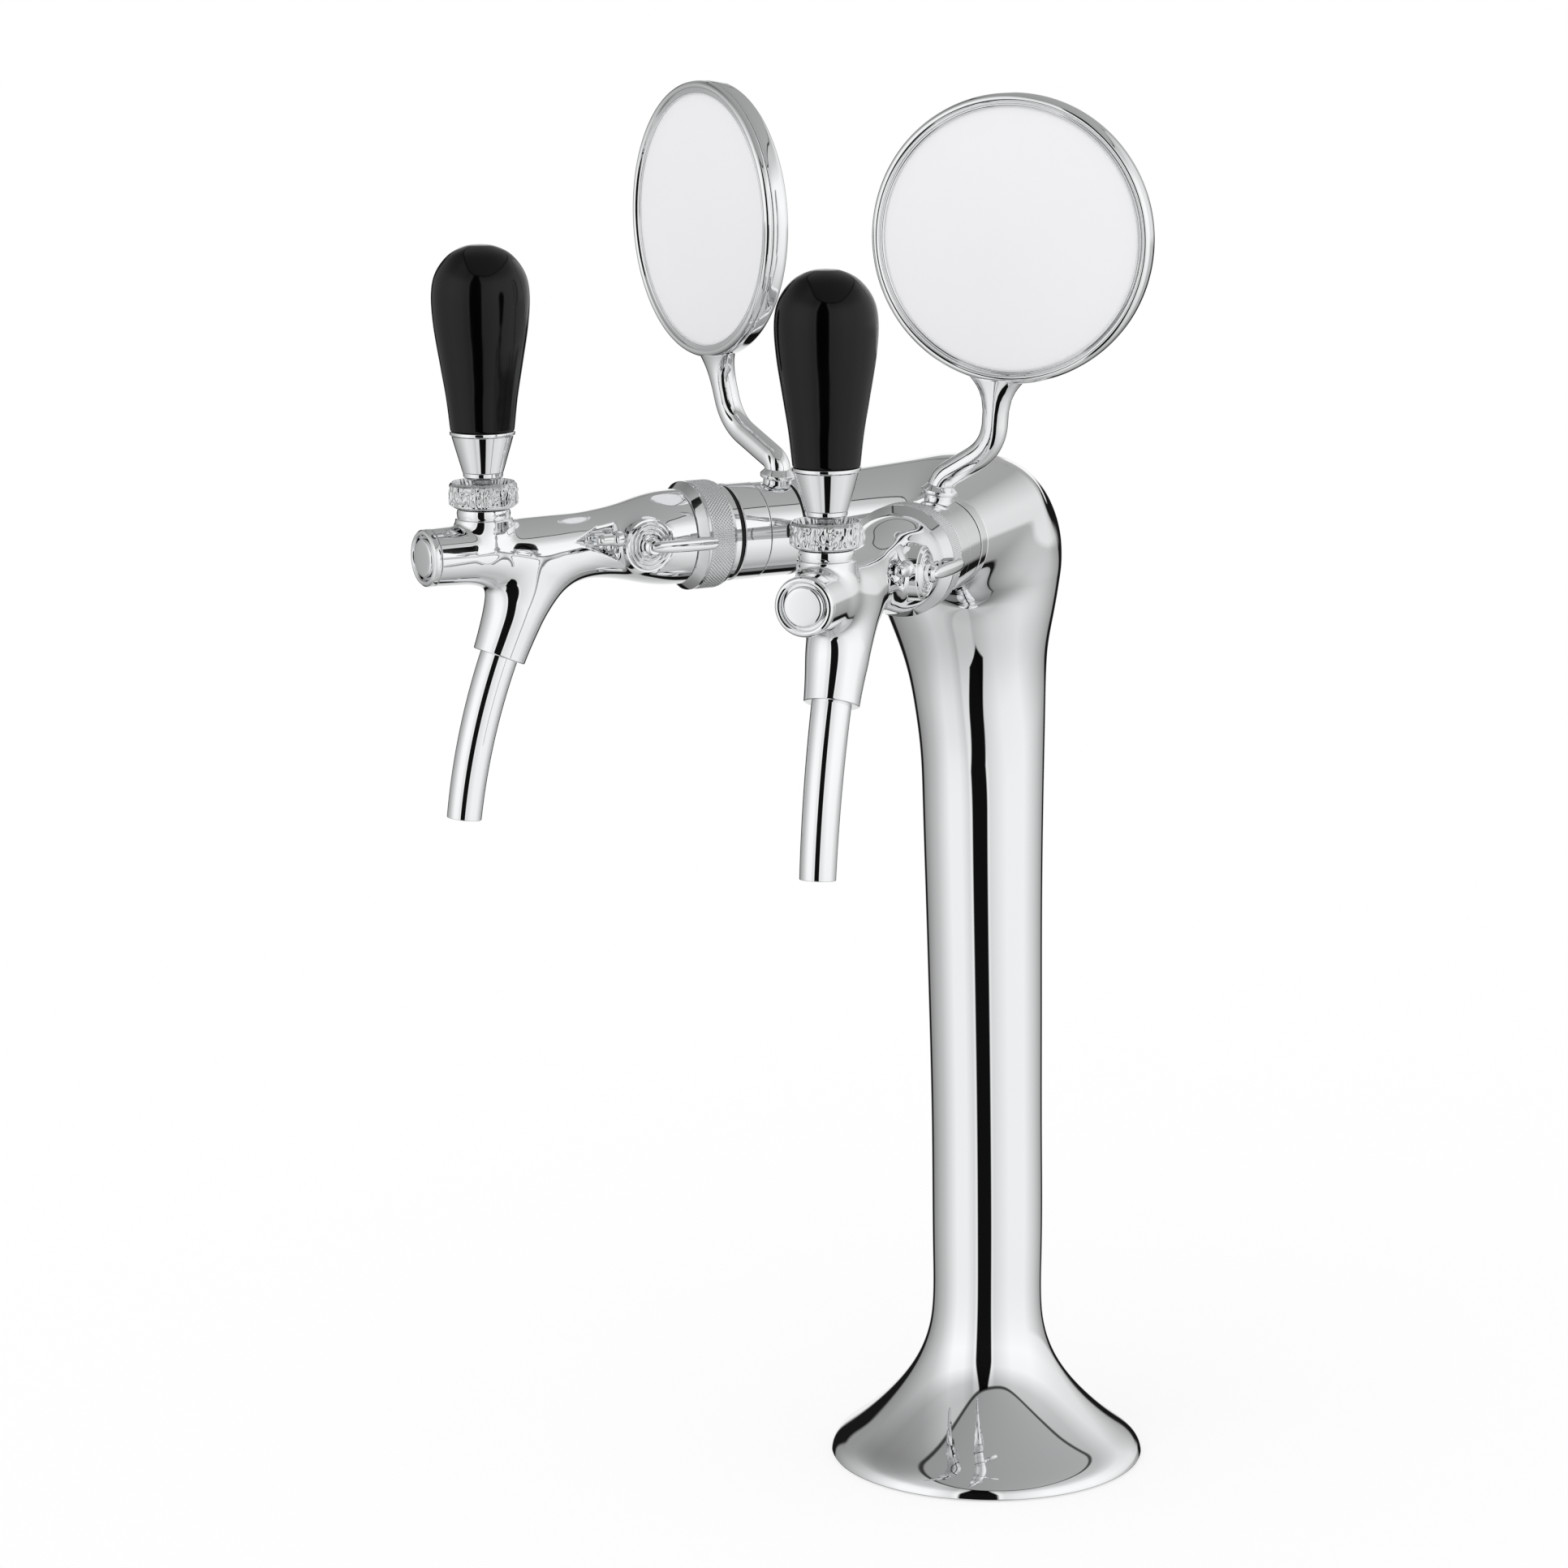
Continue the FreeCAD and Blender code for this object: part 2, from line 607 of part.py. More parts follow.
# ---- compensator --------------------------------------------------------------------------
def crank_pin_spot():
    """Eccentric pin's place at rest: forward of the axis and below it."""
    lean = crank * math.sin(math.radians(45))
    return Vec(compensator_x + lean, 0, -lean)


def compensator_cap():
    """Ridged cap round the spindle."""
    cap = ring(8.6, 3.5, Vec(compensator_x, 15.0, 0), Vec(compensator_x, 17.2, 0))
    grooves = [ring(outer, outer - 0.7, Vec(compensator_x, 16.3, 0), Vec(compensator_x, 18, 0))
               for outer in (7.8, 6.3, 4.8)]
    return cap.cut(Part.makeCompound(grooves))


def compensator_lever():
    """Spindle with an eccentric pin inside and a flat finger lever outside."""
    centre = Vec(compensator_x, 0, 0)
    spindle = rod(3.4, centre + Vec(0, 8.7, 0), centre + Vec(0, lever_inner, 0))
    hub = rod(4.0, centre + Vec(0, 17.5, 0), centre + Vec(0, lever_outer, 0))
    pin = rod(crank_pin_radius, crank_pin_spot() + Vec(0, 2.4, 0), crank_pin_spot() + Vec(0, 8.9, 0))
    blade = Part.makeBox(lever_length - 2.4, lever_outer - lever_inner, 4.8,
                         centre + Vec(2.4 - lever_length, lever_inner, -2.4))
    tip = rod(2.4, centre + Vec(2.4 - lever_length, lever_inner, 0),
              centre + Vec(2.4 - lever_length, lever_outer, 0))
    return fused([spindle, hub, pin, blade, tip])


def compensator_cone():
    """Flow-control cone, slotted across for the eccentric pin."""
    cone = turned(X_AXIS, (38.0, 0), (38.0, 6.2), (56.0, 6.2), (68.0, 3.0), (68.0, 0))
    half_slot = crank_pin_radius + slip
    slot = Part.makeBox(2 * half_slot, 8.0, 4.4, Vec(crank_pin_spot().x - half_slot, 1.6, -3.9))
    return cone.cut(slot)


def stop_pin():
    """Small pin in front of the boss that limits the compensator lever."""
    pin = turned(X_AXIS, (54.2, 0), (54.2, 1.7), (58.7, 1.7), (58.7, 2.9), (62.7, 2.9), (62.7, 2.3),
                 [(67.6, 2.3), (68.8, 1.7), (69.2, 0)])
    pin.translate(Vec(0, pin_side, pin_height))
    return pin


# ---- badge --------------------------------------------------------------------------------
def badge_centre(side):
    return Vec(badge_front, SIDES[side] * badge_side, badge_height)


def badge_stud_spot(side):
    """Line of the stem's upper stud, behind the lens."""
    return badge_centre(side) + Vec(-6.6, -SIDES[side] * 4.5, 0)


def at_badge(shape, side):
    """A shape turned about the badge's axis, with its face at x = 0, moved to the badge."""
    shape.translate(badge_centre(side))
    return shape


def medallion_housing(side):
    """Chrome drum: side wall and back."""
    drum = turned(X_AXIS, (-badge_depth, 0), (-badge_depth, badge_radius - 1.5),
                  (-badge_depth + 1.5, badge_radius), (-3.1, badge_radius), (-3.1, 47.3),
                  (-badge_depth + 1.6, 47.3), (-badge_depth + 1.6, 0))
    stud = badge_stud_spot(side)
    return at_badge(drum, side).cut(rod(1.95, stud + Vec(0, 0, -42), stud + Vec(0, 0, -55)))


def medallion_bezel(side):
    """Rounded front ring that holds the lens."""
    bezel = turned(X_AXIS, (-3.0, 47.3), (-3.0, badge_radius), (-1.2, badge_radius),
                   [(-0.3, badge_radius - 0.6), (0.0, badge_radius - 1.8), (-0.3, badge_radius - 3.2),
                    (-1.2, badge_window)],
                   (-1.5, badge_window), (-1.5, 47.3))
    return at_badge(bezel, side)


def medallion_lens(side):
    """Opal disc behind the bezel."""
    return at_badge(rod(47.1, Vec(-4.4, 0, 0), Vec(-1.6, 0, 0)), side)


def badge_stem(side):
    """Bent round stem from the ring to the drum, with a foot flange and a stud at each end."""
    hand = SIDES[side]
    turn = FreeCAD.Rotation(X_AXIS, -badge_foot_turn)
    stud_end = turn.multVec(Vec(badge_foot_x, 0, 14.8))
    foot = turn.multVec(Vec(badge_foot_x, 0, 18.95))
    foot_top = turn.multVec(Vec(badge_foot_x, 0, 20.6))
    rise = turn.multVec(Vec(badge_foot_x, 0, 25.4))
    knee = Vec(-7.0, hand * 23.6, 36.5)
    middle = badge_front - badge_depth / 2
    top = Vec(middle, hand * 26.5, badge_height - 48.0)
    path = bent_path([foot_top, rise, knee, top], [5.0, 9.0])
    flare_start = top + (knee - top).normalize() * 11.0
    flare = round_loft([(flare_start, top - knee, stem_radius),
                        (flare_start + (top - knee).normalize() * 5, top - knee, stem_radius + 0.6),
                        (top, top - knee, 5.1 + 2.0)])
    drum_middle = badge_centre(side)
    drum_space = rod(badge_radius + 0.05, drum_middle - Vec(20, 0, 0), drum_middle + Vec(20, 0, 0))
    rod_part = fused([swept(path, stem_radius), flare]).cut(drum_space)
    stud_line = badge_stud_spot(side)
    stud = rod(1.9, stud_line + Vec(0, 0, -44.0), stud_line + Vec(0, 0, -52.0))
    return fused([rod(badge_stud_radius, stud_end, foot), rod(6.2, foot, foot_top), rod_part, stud])


# ---- writing the nodes --------------------------------------------------------------------
def export(name, shape):
    shape.exportStep("parts/" + name + ".step")


TAP_PIECES = {
    "shank": shank, "collar": collar, "union_nut": union_nut, "badge_ring": badge_ring,
    "tap_body": tap_body, "spout_tube": spout_tube, "front_bush": front_bush, "plunger": plunger,
    "plunger_seal": plunger_seal, "front_button": front_button, "handle_lever": handle_lever,
    "ball_seat": ball_seat, "lock_nut": lock_nut, "ferrule": ferrule, "knob": knob,
    "compensator_cap": compensator_cap, "compensator_lever": compensator_lever,
    "compensator_cone": compensator_cone, "stop_pin": stop_pin,
}
BADGE_PIECES = {
    "medallion_housing": medallion_housing, "medallion_bezel": medallion_bezel,
    "medallion_lens": medallion_lens, "badge_stem": badge_stem,
}
PAIRED_PIECES = {
    "collar_seals": collar_seal, "clamp_washers": clamp_washer, "tail_washers": tail_washer,
    "nut_snap_rings": nut_snap_ring, "spout_seals": spout_seal, "badge_set_screws": badge_set_screw,
}


def main():
    os.makedirs("parts", exist_ok=True)
    export("tower_column", tower_column())
    export("base_flange", base_flange())
    export("base_gasket", base_gasket())
    export("flange_screws", around(flange_screw(), 4, 0))
    export("cooling_loop", cooling_loop())
    export("insulation_sleeve", insulation_sleeve())
    for side in SIDES:
        export("beer_line_" + side, beer_line(side))
        for name, build in TAP_PIECES.items():
            export(name + "_" + side, on_arm(build(), side))
        for name, build in BADGE_PIECES.items():
            export(name + "_" + side, on_arm(build(side), side))
    for name, build in PAIRED_PIECES.items():
        export(name, Part.makeCompound([on_arm(build(), side) for side in SIDES]))


main()
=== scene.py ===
import json
import math

import bmesh
import bpy
import numpy as np
from mathutils import Matrix, Vector, noise


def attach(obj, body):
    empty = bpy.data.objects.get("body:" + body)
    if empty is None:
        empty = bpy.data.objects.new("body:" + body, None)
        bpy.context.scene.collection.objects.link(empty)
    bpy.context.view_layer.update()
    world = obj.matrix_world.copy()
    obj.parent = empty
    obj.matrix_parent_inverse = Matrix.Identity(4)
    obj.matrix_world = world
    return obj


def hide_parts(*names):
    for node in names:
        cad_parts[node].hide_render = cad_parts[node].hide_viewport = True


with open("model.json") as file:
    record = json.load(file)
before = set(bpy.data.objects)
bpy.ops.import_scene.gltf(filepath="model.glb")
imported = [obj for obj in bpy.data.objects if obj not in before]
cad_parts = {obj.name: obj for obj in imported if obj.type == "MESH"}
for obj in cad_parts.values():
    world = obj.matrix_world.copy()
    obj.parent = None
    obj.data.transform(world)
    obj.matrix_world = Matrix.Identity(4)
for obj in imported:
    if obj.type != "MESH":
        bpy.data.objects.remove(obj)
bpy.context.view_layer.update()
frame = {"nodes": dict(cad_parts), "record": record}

MM = 0.001
SIDES = {"left": -1, "right": 1}

# ---- sizes of the tower and the tap --------------------------------------------------------
tap_height = 367.0
arm_half_angle = 20.3
arm_offset = 4.9
arm_reach = 101.9
arm_end_radius = 17.4
arm_root_radius = 21.5
badge_ring_length = 22.0

foot_radius = 59.9
tube_start = 62.0
hood_height, hood_forward = 362.4, 12.2
hood_width, hood_length, hood_rise, hood_drop = 27.8, 34.6, 27.5, 35.0       # half lengths
trunk_top, trunk_top_radius = 356.0, 24.0

collar_length = 10.8
nut_rear, nut_front, nut_radius = 15.1, 29.8, 19.6
body_rear, body_front = 30.2, 128.2
front_face = 131.2
handle_x = 107.0
socket_x, socket_z = 101.9, -37.4
spout_angle, spout_end_angle, spout_bend = 22.0, 7.0, 225.0
spout_radius, spout_tip_radius, spout_bore = 6.8, 6.2, 4.8
compensator_x, boss_radius, boss_face = 49.5, 9.5, 15.8
pin_side, pin_height = 13.0, 3.0
badge_radius, badge_depth, badge_segments = 50.1, 10.4, 256
badge_front, badge_side, badge_height = 2.7, 31.5, 110.0
badge_foot_x, badge_foot_turn = -11.0, 8.0
stem_radius = 4.6


# ---- mesh helpers --------------------------------------------------------------------------
def arm_frame(side):
    """Matrix that sets the tap frame on one arm, in metres."""
    turn = Matrix.Rotation(math.radians(-90 + SIDES[side] * arm_half_angle), 4, "Z")
    corner = turn @ Vector((arm_reach, SIDES[side] * arm_offset, 0))
    return Matrix.Translation((corner + Vector((0, 0, tap_height))) * MM) @ turn


def new_mesh(name, points, faces):
    """Smooth mesh from points in millimetres."""
    mesh = bpy.data.meshes.new(name)
    mesh.from_pydata((np.array(points, float) * MM).tolist(), [], faces)
    mesh.shade_smooth()
    return mesh


def flowing(points, steps=8):
    """Points along a smooth curve through the given points."""
    knots = [np.array(point, float) for point in points]
    knots = [2 * knots[0] - knots[1]] + knots + [2 * knots[-1] - knots[-2]]
    result = []
    for a, b, c, d in zip(knots, knots[1:], knots[2:], knots[3:]):
        for step in range(steps):
            t = step / steps
            result.append(0.5 * (2 * b + (c - a) * t + (2 * a - 5 * b + 4 * c - d) * t ** 2
                                 + (3 * b - a - 3 * c + d) * t ** 3))
    return [tuple(point) for point in result + [knots[-2]]]


def eased(outline, ease, closed=False):
    """The outline with each of its corners rounded to a small radius."""
    points = [np.array(point, float) for point in outline]
    result = []
    for index, corner in enumerate(points):
        if not closed and index in (0, len(points) - 1):
            result.append(corner)
            continue
        back = points[index - 1] - corner
        ahead = points[(index + 1) % len(points)] - corner
        back_length, ahead_length = np.linalg.norm(back), np.linalg.norm(ahead)
        back, ahead = back / back_length, ahead / ahead_length
        turn = math.pi - math.acos(max(-1.0, min(1.0, float(back @ ahead))))
        if turn < math.radians(24):
            result.append(corner)
            continue
        reach = min(ease * math.tan(turn / 2), 0.45 * back_length, 0.45 * ahead_length)
        for t in (0.0, 0.25, 0.5, 0.75, 1.0):
            result.append(corner + back * reach * (1 - t) ** 2 + ahead * reach * t ** 2)
    return result


def lathed(name, outline, axis="X", centre=(0, 0, 0), segments=128, ring=False, relief=None):
    """Mesh turned about X, Y or Z from (along, radius) points. A ring's outline closes on itself;
    any other outline starts and ends on the axis. relief(along, angle) is added to the radius."""
    order = {"X": (0, 1, 2), "Y": (1, 2, 0), "Z": (2, 0, 1)}[axis]
    points, rows, faces = [], [], []
    for along, radius in outline:
        if radius < 1e-6:
            rows.append([len(points)])
            points.append((along, 0.0, 0.0))
            continue
        rows.append(list(range(len(points), len(points) + segments)))
        for index in range(segments):
            angle = 2 * math.pi * index / segments
            out = radius + (relief(along, angle) if relief else 0.0)
            points.append((along, out * math.cos(angle), out * math.sin(angle)))
    pairs = list(zip(rows, rows[1:]))
    if ring:
        pairs.append((rows[-1], rows[0]))
    for near, far in pairs:
        for index in range(segments):
            after = (index + 1) % segments
            if len(near) == 1:
                faces.append((near[0], far[after], far[index]))
            elif len(far) == 1:
                faces.append((near[index], near[after], far[0]))
            else:
                faces.append((near[index], near[after], far[after], far[index]))
    placed = np.zeros((len(points), 3))
    placed[:, list(order)] = points
    mesh = new_mesh(name, placed + np.array(centre, float), faces)
    return face_outward(mesh)


def face_outward(mesh):
    form = bmesh.new()
    form.from_mesh(mesh)
    bmesh.ops.recalc_face_normals(form, faces=form.faces)
    if form.calc_volume(signed=True) < 0:
        bmesh.ops.reverse_faces(form, faces=form.faces)
    form.to_mesh(mesh)
    form.free()
    return mesh


def swept(name, path, radii, segments=64, stretch=None, last_direction=None, last_count=0):
    """Round bar along a list of points, closed at each end. stretch is a direction and a factor for
    each point. The last points may share one direction, so that the bar can turn back inside
    itself as a tube."""
    path = [Vector(point) for point in path]
    points, faces = [], []
    tangent = (path[1] - path[0]).normalized()
    side = tangent.orthogonal().normalized()
    for index, centre in enumerate(path):
        ahead = path[min(index + 1, len(path) - 1)] - path[max(index - 1, 0)]
        if index >= len(path) - last_count:
            ahead = Vector(last_direction)
        ahead.normalize()
        side = (side - ahead * side.dot(ahead)).normalized()
        across = ahead.cross(side)
        for step in range(segments):
            angle = 2 * math.pi * step / segments
            spoke = (side * math.cos(angle) + across * math.sin(angle)) * radii[index]
            if stretch:
                spoke += stretch[0] * spoke.dot(stretch[0]) * (stretch[1][index] - 1)
            points.append(centre + spoke)
    for row in range(len(path) - 1):
        for step in range(segments):
            after = (step + 1) % segments
            a, b = row * segments, (row + 1) * segments
            faces.append((a + step, a + after, b + after, b + step))
    faces.append(tuple(reversed(range(segments))))
    faces.append(tuple(range((len(path) - 1) * segments, len(path) * segments)))
    return face_outward(new_mesh(name, points, faces))


def rounded(points, reaches, steps=14):
    """Path through points with each inner corner cut by a smooth bend that starts reach before it."""
    path = [points[0]]
    for before, corner, after, reach in zip(points, points[1:], points[2:], reaches):
        first = corner + (before - corner).normalized() * reach
        last = corner + (after - corner).normalized() * reach
        for step in range(steps + 1):
            t = step / steps
            path.append(first * (1 - t) ** 2 + corner * 2 * t * (1 - t) + last * t ** 2)
    run = points[-1] - path[-1]
    return path + [path[-1] + run * share for share in (0.25, 0.5, 0.65, 0.75, 0.82, 0.88, 0.94, 1.0)]


def subdivided(mesh, levels):
    """The mesh rounded by subdivision."""
    piece = bpy.data.objects.new("cage", mesh)
    bpy.context.scene.collection.objects.link(piece)
    piece.modifiers.new("round", "SUBSURF").levels = levels
    result = bpy.data.meshes.new_from_object(piece.evaluated_get(bpy.context.evaluated_depsgraph_get()))
    bpy.data.objects.remove(piece)
    return result


def joined(name, meshes):
    """One mesh from several closed shells."""
    form = bmesh.new()
    for mesh in meshes:
        form.from_mesh(mesh)
        bpy.data.meshes.remove(mesh)
    result = bpy.data.meshes.new(name)
    form.to_mesh(result)
    form.free()
    result.shade_smooth()
    return result


# ---- cast shapes: smooth blends of simple solids ---------------------------------------------
def blended(first, second, reach):
    """Distance to two solids that flow into each other where they come within reach."""
    near = np.maximum(reach - np.abs(first - second), 0) / reach
    return np.minimum(first, second) - near ** 3 * reach / 6


def carved(solid, tool, reach):
    """Distance to a solid with another one cut away."""
    return -blended(-solid, tool, reach)


def smooth_table(knots):
    """Smooth curve through (place, value) knots, level at both ends. It reads back the value and the
    slope at any place."""
    at, value = np.array(knots, float).T
    gap, rise = np.diff(at), np.diff(value)
    matrix, steady = np.eye(len(at)), np.zeros(len(at))
    for row in range(1, len(at) - 1):
        matrix[row, row - 1:row + 2] = (1 / gap[row - 1], 2 / gap[row - 1] + 2 / gap[row], 1 / gap[row])
        steady[row] = 3 * (rise[row - 1] / gap[row - 1] ** 2 + rise[row] / gap[row] ** 2)
    slopes = np.linalg.solve(matrix, steady)

    def read(place):
        place = np.clip(place, at[0], at[-1])
        span = np.clip(np.searchsorted(at, place) - 1, 0, len(gap) - 1)
        width, low, high = gap[span], value[span], value[span + 1]
        t = (place - at[span]) / width
        before, after = slopes[span] * width, slopes[span + 1] * width
        bend = 3 * (high - low) - 2 * before - after
        twist = 2 * (low - high) + before + after
        return low + t * (before + t * (bend + t * twist)), (before + t * (2 * bend + t * 3 * twist)) / width

    return read


def turned_distance(along, off_axis, table):
    """Distance to a turned shape whose radius along its axis comes from a smooth table."""
    radius, slope = table(along)
    return (off_axis - radius) / np.sqrt(1 + slope ** 2)


def round_cone(along, off_axis, radius, taper=0.0):
    """Distance to a cone that starts as a ball; taper is the sine of its half angle."""
    level = math.sqrt(1 - taper ** 2)
    beside = along * level > off_axis * taper
    return np.where(beside, off_axis * level + along * taper, np.hypot(off_axis, along)) - radius


def capsule(places, start, end, radius):
    """Distance to a round bar with a ball at each end."""
    start, run = np.array(start, float), np.array(end, float) - np.array(start, float)
    share = np.clip((places - start) @ run / (run @ run), 0, 1)
    return np.linalg.norm(places - start - share[:, None] * run, axis=1) - radius


def gradient(distance, places, step=0.05):
    result = np.empty_like(places)
    for axis in range(3):
        shift = np.zeros(3)
        shift[axis] = step
        result[:, axis] = (distance(places + shift) - distance(places - shift)) / (2 * step)
    return result


# What a face of a casting belongs to.
ON_CASTING, ON_RIM, ON_FLAT_END = 0, 1, 2


def cast(name, distance, blank, voxel, cuts, rims):
    """Casting as one smooth mesh. The blank is remeshed, drawn on to the surface where distance is
    zero, cut flat at (point, outward) planes as far as reach from the point, and each cut edge is
    carried round through rim steps of (further out, towards the cut's centre)."""
    rough = bpy.data.objects.new(name + "_blank", blank)
    bpy.context.scene.collection.objects.link(rough)
    remesh = rough.modifiers.new("even", "REMESH")
    remesh.mode = "VOXEL"
    remesh.voxel_size = voxel * MM
    depsgraph = bpy.context.evaluated_depsgraph_get()
    even = bpy.data.meshes.new_from_object(rough.evaluated_get(depsgraph))
    bpy.data.objects.remove(rough)
    places = np.empty(len(even.vertices) * 3)
    even.vertices.foreach_get("co", places)
    places = places.reshape(-1, 3) / MM
    ends = np.empty(len(even.edges) * 2, int)
    even.edges.foreach_get("vertices", ends)
    ends = ends.reshape(-1, 2)
    near = np.bincount(ends.ravel(), minlength=len(places))[:, None]
    settling_turns, evening_turns, evening_share = 10, (2, 4, 6), 0.6
    for turn in range(settling_turns):
        slope = gradient(distance, places)
        steepness = np.maximum((slope ** 2).sum(axis=1), 0.2)
        places -= slope * np.clip(distance(places) / steepness, -voxel, voxel)[:, None]
        if turn in evening_turns:
            total = np.zeros_like(places)
            np.add.at(total, ends[:, 0], places[ends[:, 1]])
            np.add.at(total, ends[:, 1], places[ends[:, 0]])
            places += evening_share * (total / near - places)
    even.vertices.foreach_set("co", (places * MM).ravel())
    form = bmesh.new()
    form.from_mesh(even)
    bpy.data.meshes.remove(even)
    rim_mark = form.faces.layers.int.new("rim")
    for (point, outward, reach), steps in zip(cuts, rims):
        point, outward = Vector(point), Vector(outward).normalized()
        close = [face for face in form.faces if (face.calc_center_median() - point * MM).length < reach * MM]
        parts = (close + list({e for face in close for e in face.edges})
                 + list({v for face in close for v in face.verts}))
        bmesh.ops.bisect_plane(form, geom=parts, dist=1e-7, plane_co=point * MM, plane_no=outward,
                               clear_outer=True)
        edge = [e for e in form.edges if e.is_boundary]
        for out, inward in steps:
            grown = bmesh.ops.extrude_edge_only(form, edges=edge)["geom"]
            edge = [part for part in grown if isinstance(part, bmesh.types.BMEdge) and part.is_boundary]
            for corner in {corner for e in edge for corner in e.verts}:
                off = corner.co - point * MM
                off -= outward * off.dot(outward)
                shrunk = max(off.length - inward * MM, 0.0)
                corner.co += outward * out * MM + off * (shrunk / off.length - 1)
            for part in grown:
                if isinstance(part, bmesh.types.BMFace):
                    part[rim_mark] = ON_RIM
        for face in bmesh.ops.holes_fill(form, edges=edge)["faces"]:
            face[rim_mark] = ON_FLAT_END
    bmesh.ops.recalc_face_normals(form, faces=form.faces)
    if form.calc_volume(signed=True) < 0:
        bmesh.ops.reverse_faces(form, faces=form.faces)
    mesh = bpy.data.meshes.new(name)
    form.to_mesh(mesh)
    form.free()
    mesh.shade_smooth()
    return polished(mesh, distance)


def polished(mesh, distance):
    """Gives a casting the exact normals of its surface; its cut ends keep their own."""
    places = np.empty(len(mesh.vertices) * 3)
    mesh.vertices.foreach_get("co", places)
    slope = gradient(distance, places.reshape(-1, 3) / MM)
    slope /= np.linalg.norm(slope, axis=1)[:, None] + 1e-12
    mark = np.zeros(len(mesh.polygons), int)
    mesh.attributes["rim"].data.foreach_get("value", mark)
    own = np.zeros((len(mesh.vertices), 3))
    body_vertex = np.zeros(len(mesh.vertices), bool)
    for face in mesh.polygons:
        if mark[face.index] == ON_RIM:
            for corner in face.vertices:
                own[corner] += np.array(face.normal) * face.area
        elif mark[face.index] == ON_CASTING:
            body_vertex[list(face.vertices)] = True
    own /= np.linalg.norm(own, axis=1)[:, None] + 1e-12
    normals = []
    for face in mesh.polygons:
        kind = mark[face.index]
        for corner in face.vertices:
            if kind == ON_FLAT_END:
                normals.append(tuple(face.normal))
            elif kind == ON_CASTING or body_vertex[corner]:
                normals.append(tuple(slope[corner]))
            else:
                normals.append(tuple(own[corner]))
    mesh.normals_split_custom_set(normals)
    mesh.attributes.remove(mesh.attributes["rim"])
    return mesh


# ---- finishes --------------------------------------------------------------------------------
def colour(hex_code):
    """sRGB hex to linear red, green, blue and alpha."""
    levels = [int(hex_code[index:index + 2], 16) / 255 for index in (1, 3, 5)]
    return tuple(c / 12.92 if c <= 0.04045 else ((c + 0.055) / 1.055) ** 2.4 for c in levels) + (1.0,)


def add_node(tree, kind, settings=None, inputs=None):
    """A node with its settings; each input is a value or the socket that feeds it."""
    made = tree.nodes.new(kind)
    for key, value in (settings or {}).items():
        setattr(made, key, value)
    for key, value in (inputs or {}).items():
        if isinstance(value, bpy.types.NodeSocket):
            tree.links.new(value, made.inputs[key])
        else:
            made.inputs[key].default_value = value
    return made


def new_finish(name):
    material = bpy.data.materials.new(name)
    material.use_nodes = True
    tree = material.node_tree
    tree.nodes.clear()
    output = add_node(tree, "ShaderNodeOutputMaterial")
    place = add_node(tree, "ShaderNodeTexCoord").outputs["Object"]
    return material, tree, output, place


def varied(tree, place, size, low, high, detail=3.0):
    """A value that drifts between low and high over patches of about size metres."""
    cloud = add_node(tree, "ShaderNodeTexNoise", inputs={
        "Vector": place, "Scale": 1 / size, "Detail": detail}).outputs["Fac"]
    return add_node(tree, "ShaderNodeMapRange", inputs={
        "Value": cloud, "From Min": 0.3, "From Max": 0.7, "To Min": low, "To Max": high}).outputs["Result"]


def rippled(tree, place, size, depth):
    """Normal of a surface with soft ripples of a size and a depth in metres."""
    wave = add_node(tree, "ShaderNodeTexNoise", inputs={
        "Vector": place, "Scale": 1 / size, "Detail": 2.0}).outputs["Fac"]
    return add_node(tree, "ShaderNodeBump", inputs={
        "Height": wave, "Strength": 1.0, "Distance": depth}).outputs["Normal"]


def metal_finish(name, tone, rough_low, rough_high, patch, ripple=0.0, ripple_size=0.004):
    """Bare or plated metal whose polish varies a little from patch to patch."""
    material, tree, output, place = new_finish(name)
    inputs = {"Base Color": colour(tone), "Metallic": 1.0,
              "Roughness": varied(tree, place, patch, rough_low, rough_high)}
    if ripple:
        inputs["Normal"] = rippled(tree, place, ripple_size, ripple)
    shader = add_node(tree, "ShaderNodeBsdfPrincipled", inputs=inputs)
    tree.links.new(shader.outputs["BSDF"], output.inputs["Surface"])
    return material


def plastic_finish(name, dark, light, patch, rough_low, rough_high, ior, gloss=0.5, grain=0.0,
                   grain_size=0.0005):
    """Moulded or cast plastic and rubber: a slightly clouded colour under an even gloss."""
    material, tree, output, place = new_finish(name)
    cloud = varied(tree, place, patch, 0.0, 1.0)
    tone = add_node(tree, "ShaderNodeMix", {"data_type": "RGBA"}, {"Factor": cloud})
    tone.inputs[6].default_value = colour(dark)
    tone.inputs[7].default_value = colour(light)
    inputs = {"Base Color": tone.outputs[2], "IOR": ior, "Specular IOR Level": gloss,
              "Roughness": varied(tree, place, patch * 0.4, rough_low, rough_high)}
    if grain:
        inputs["Normal"] = rippled(tree, place, grain_size, grain)
    shader = add_node(tree, "ShaderNodeBsdfPrincipled", inputs=inputs)
    tree.links.new(shader.outputs["BSDF"], output.inputs["Surface"])
    return material


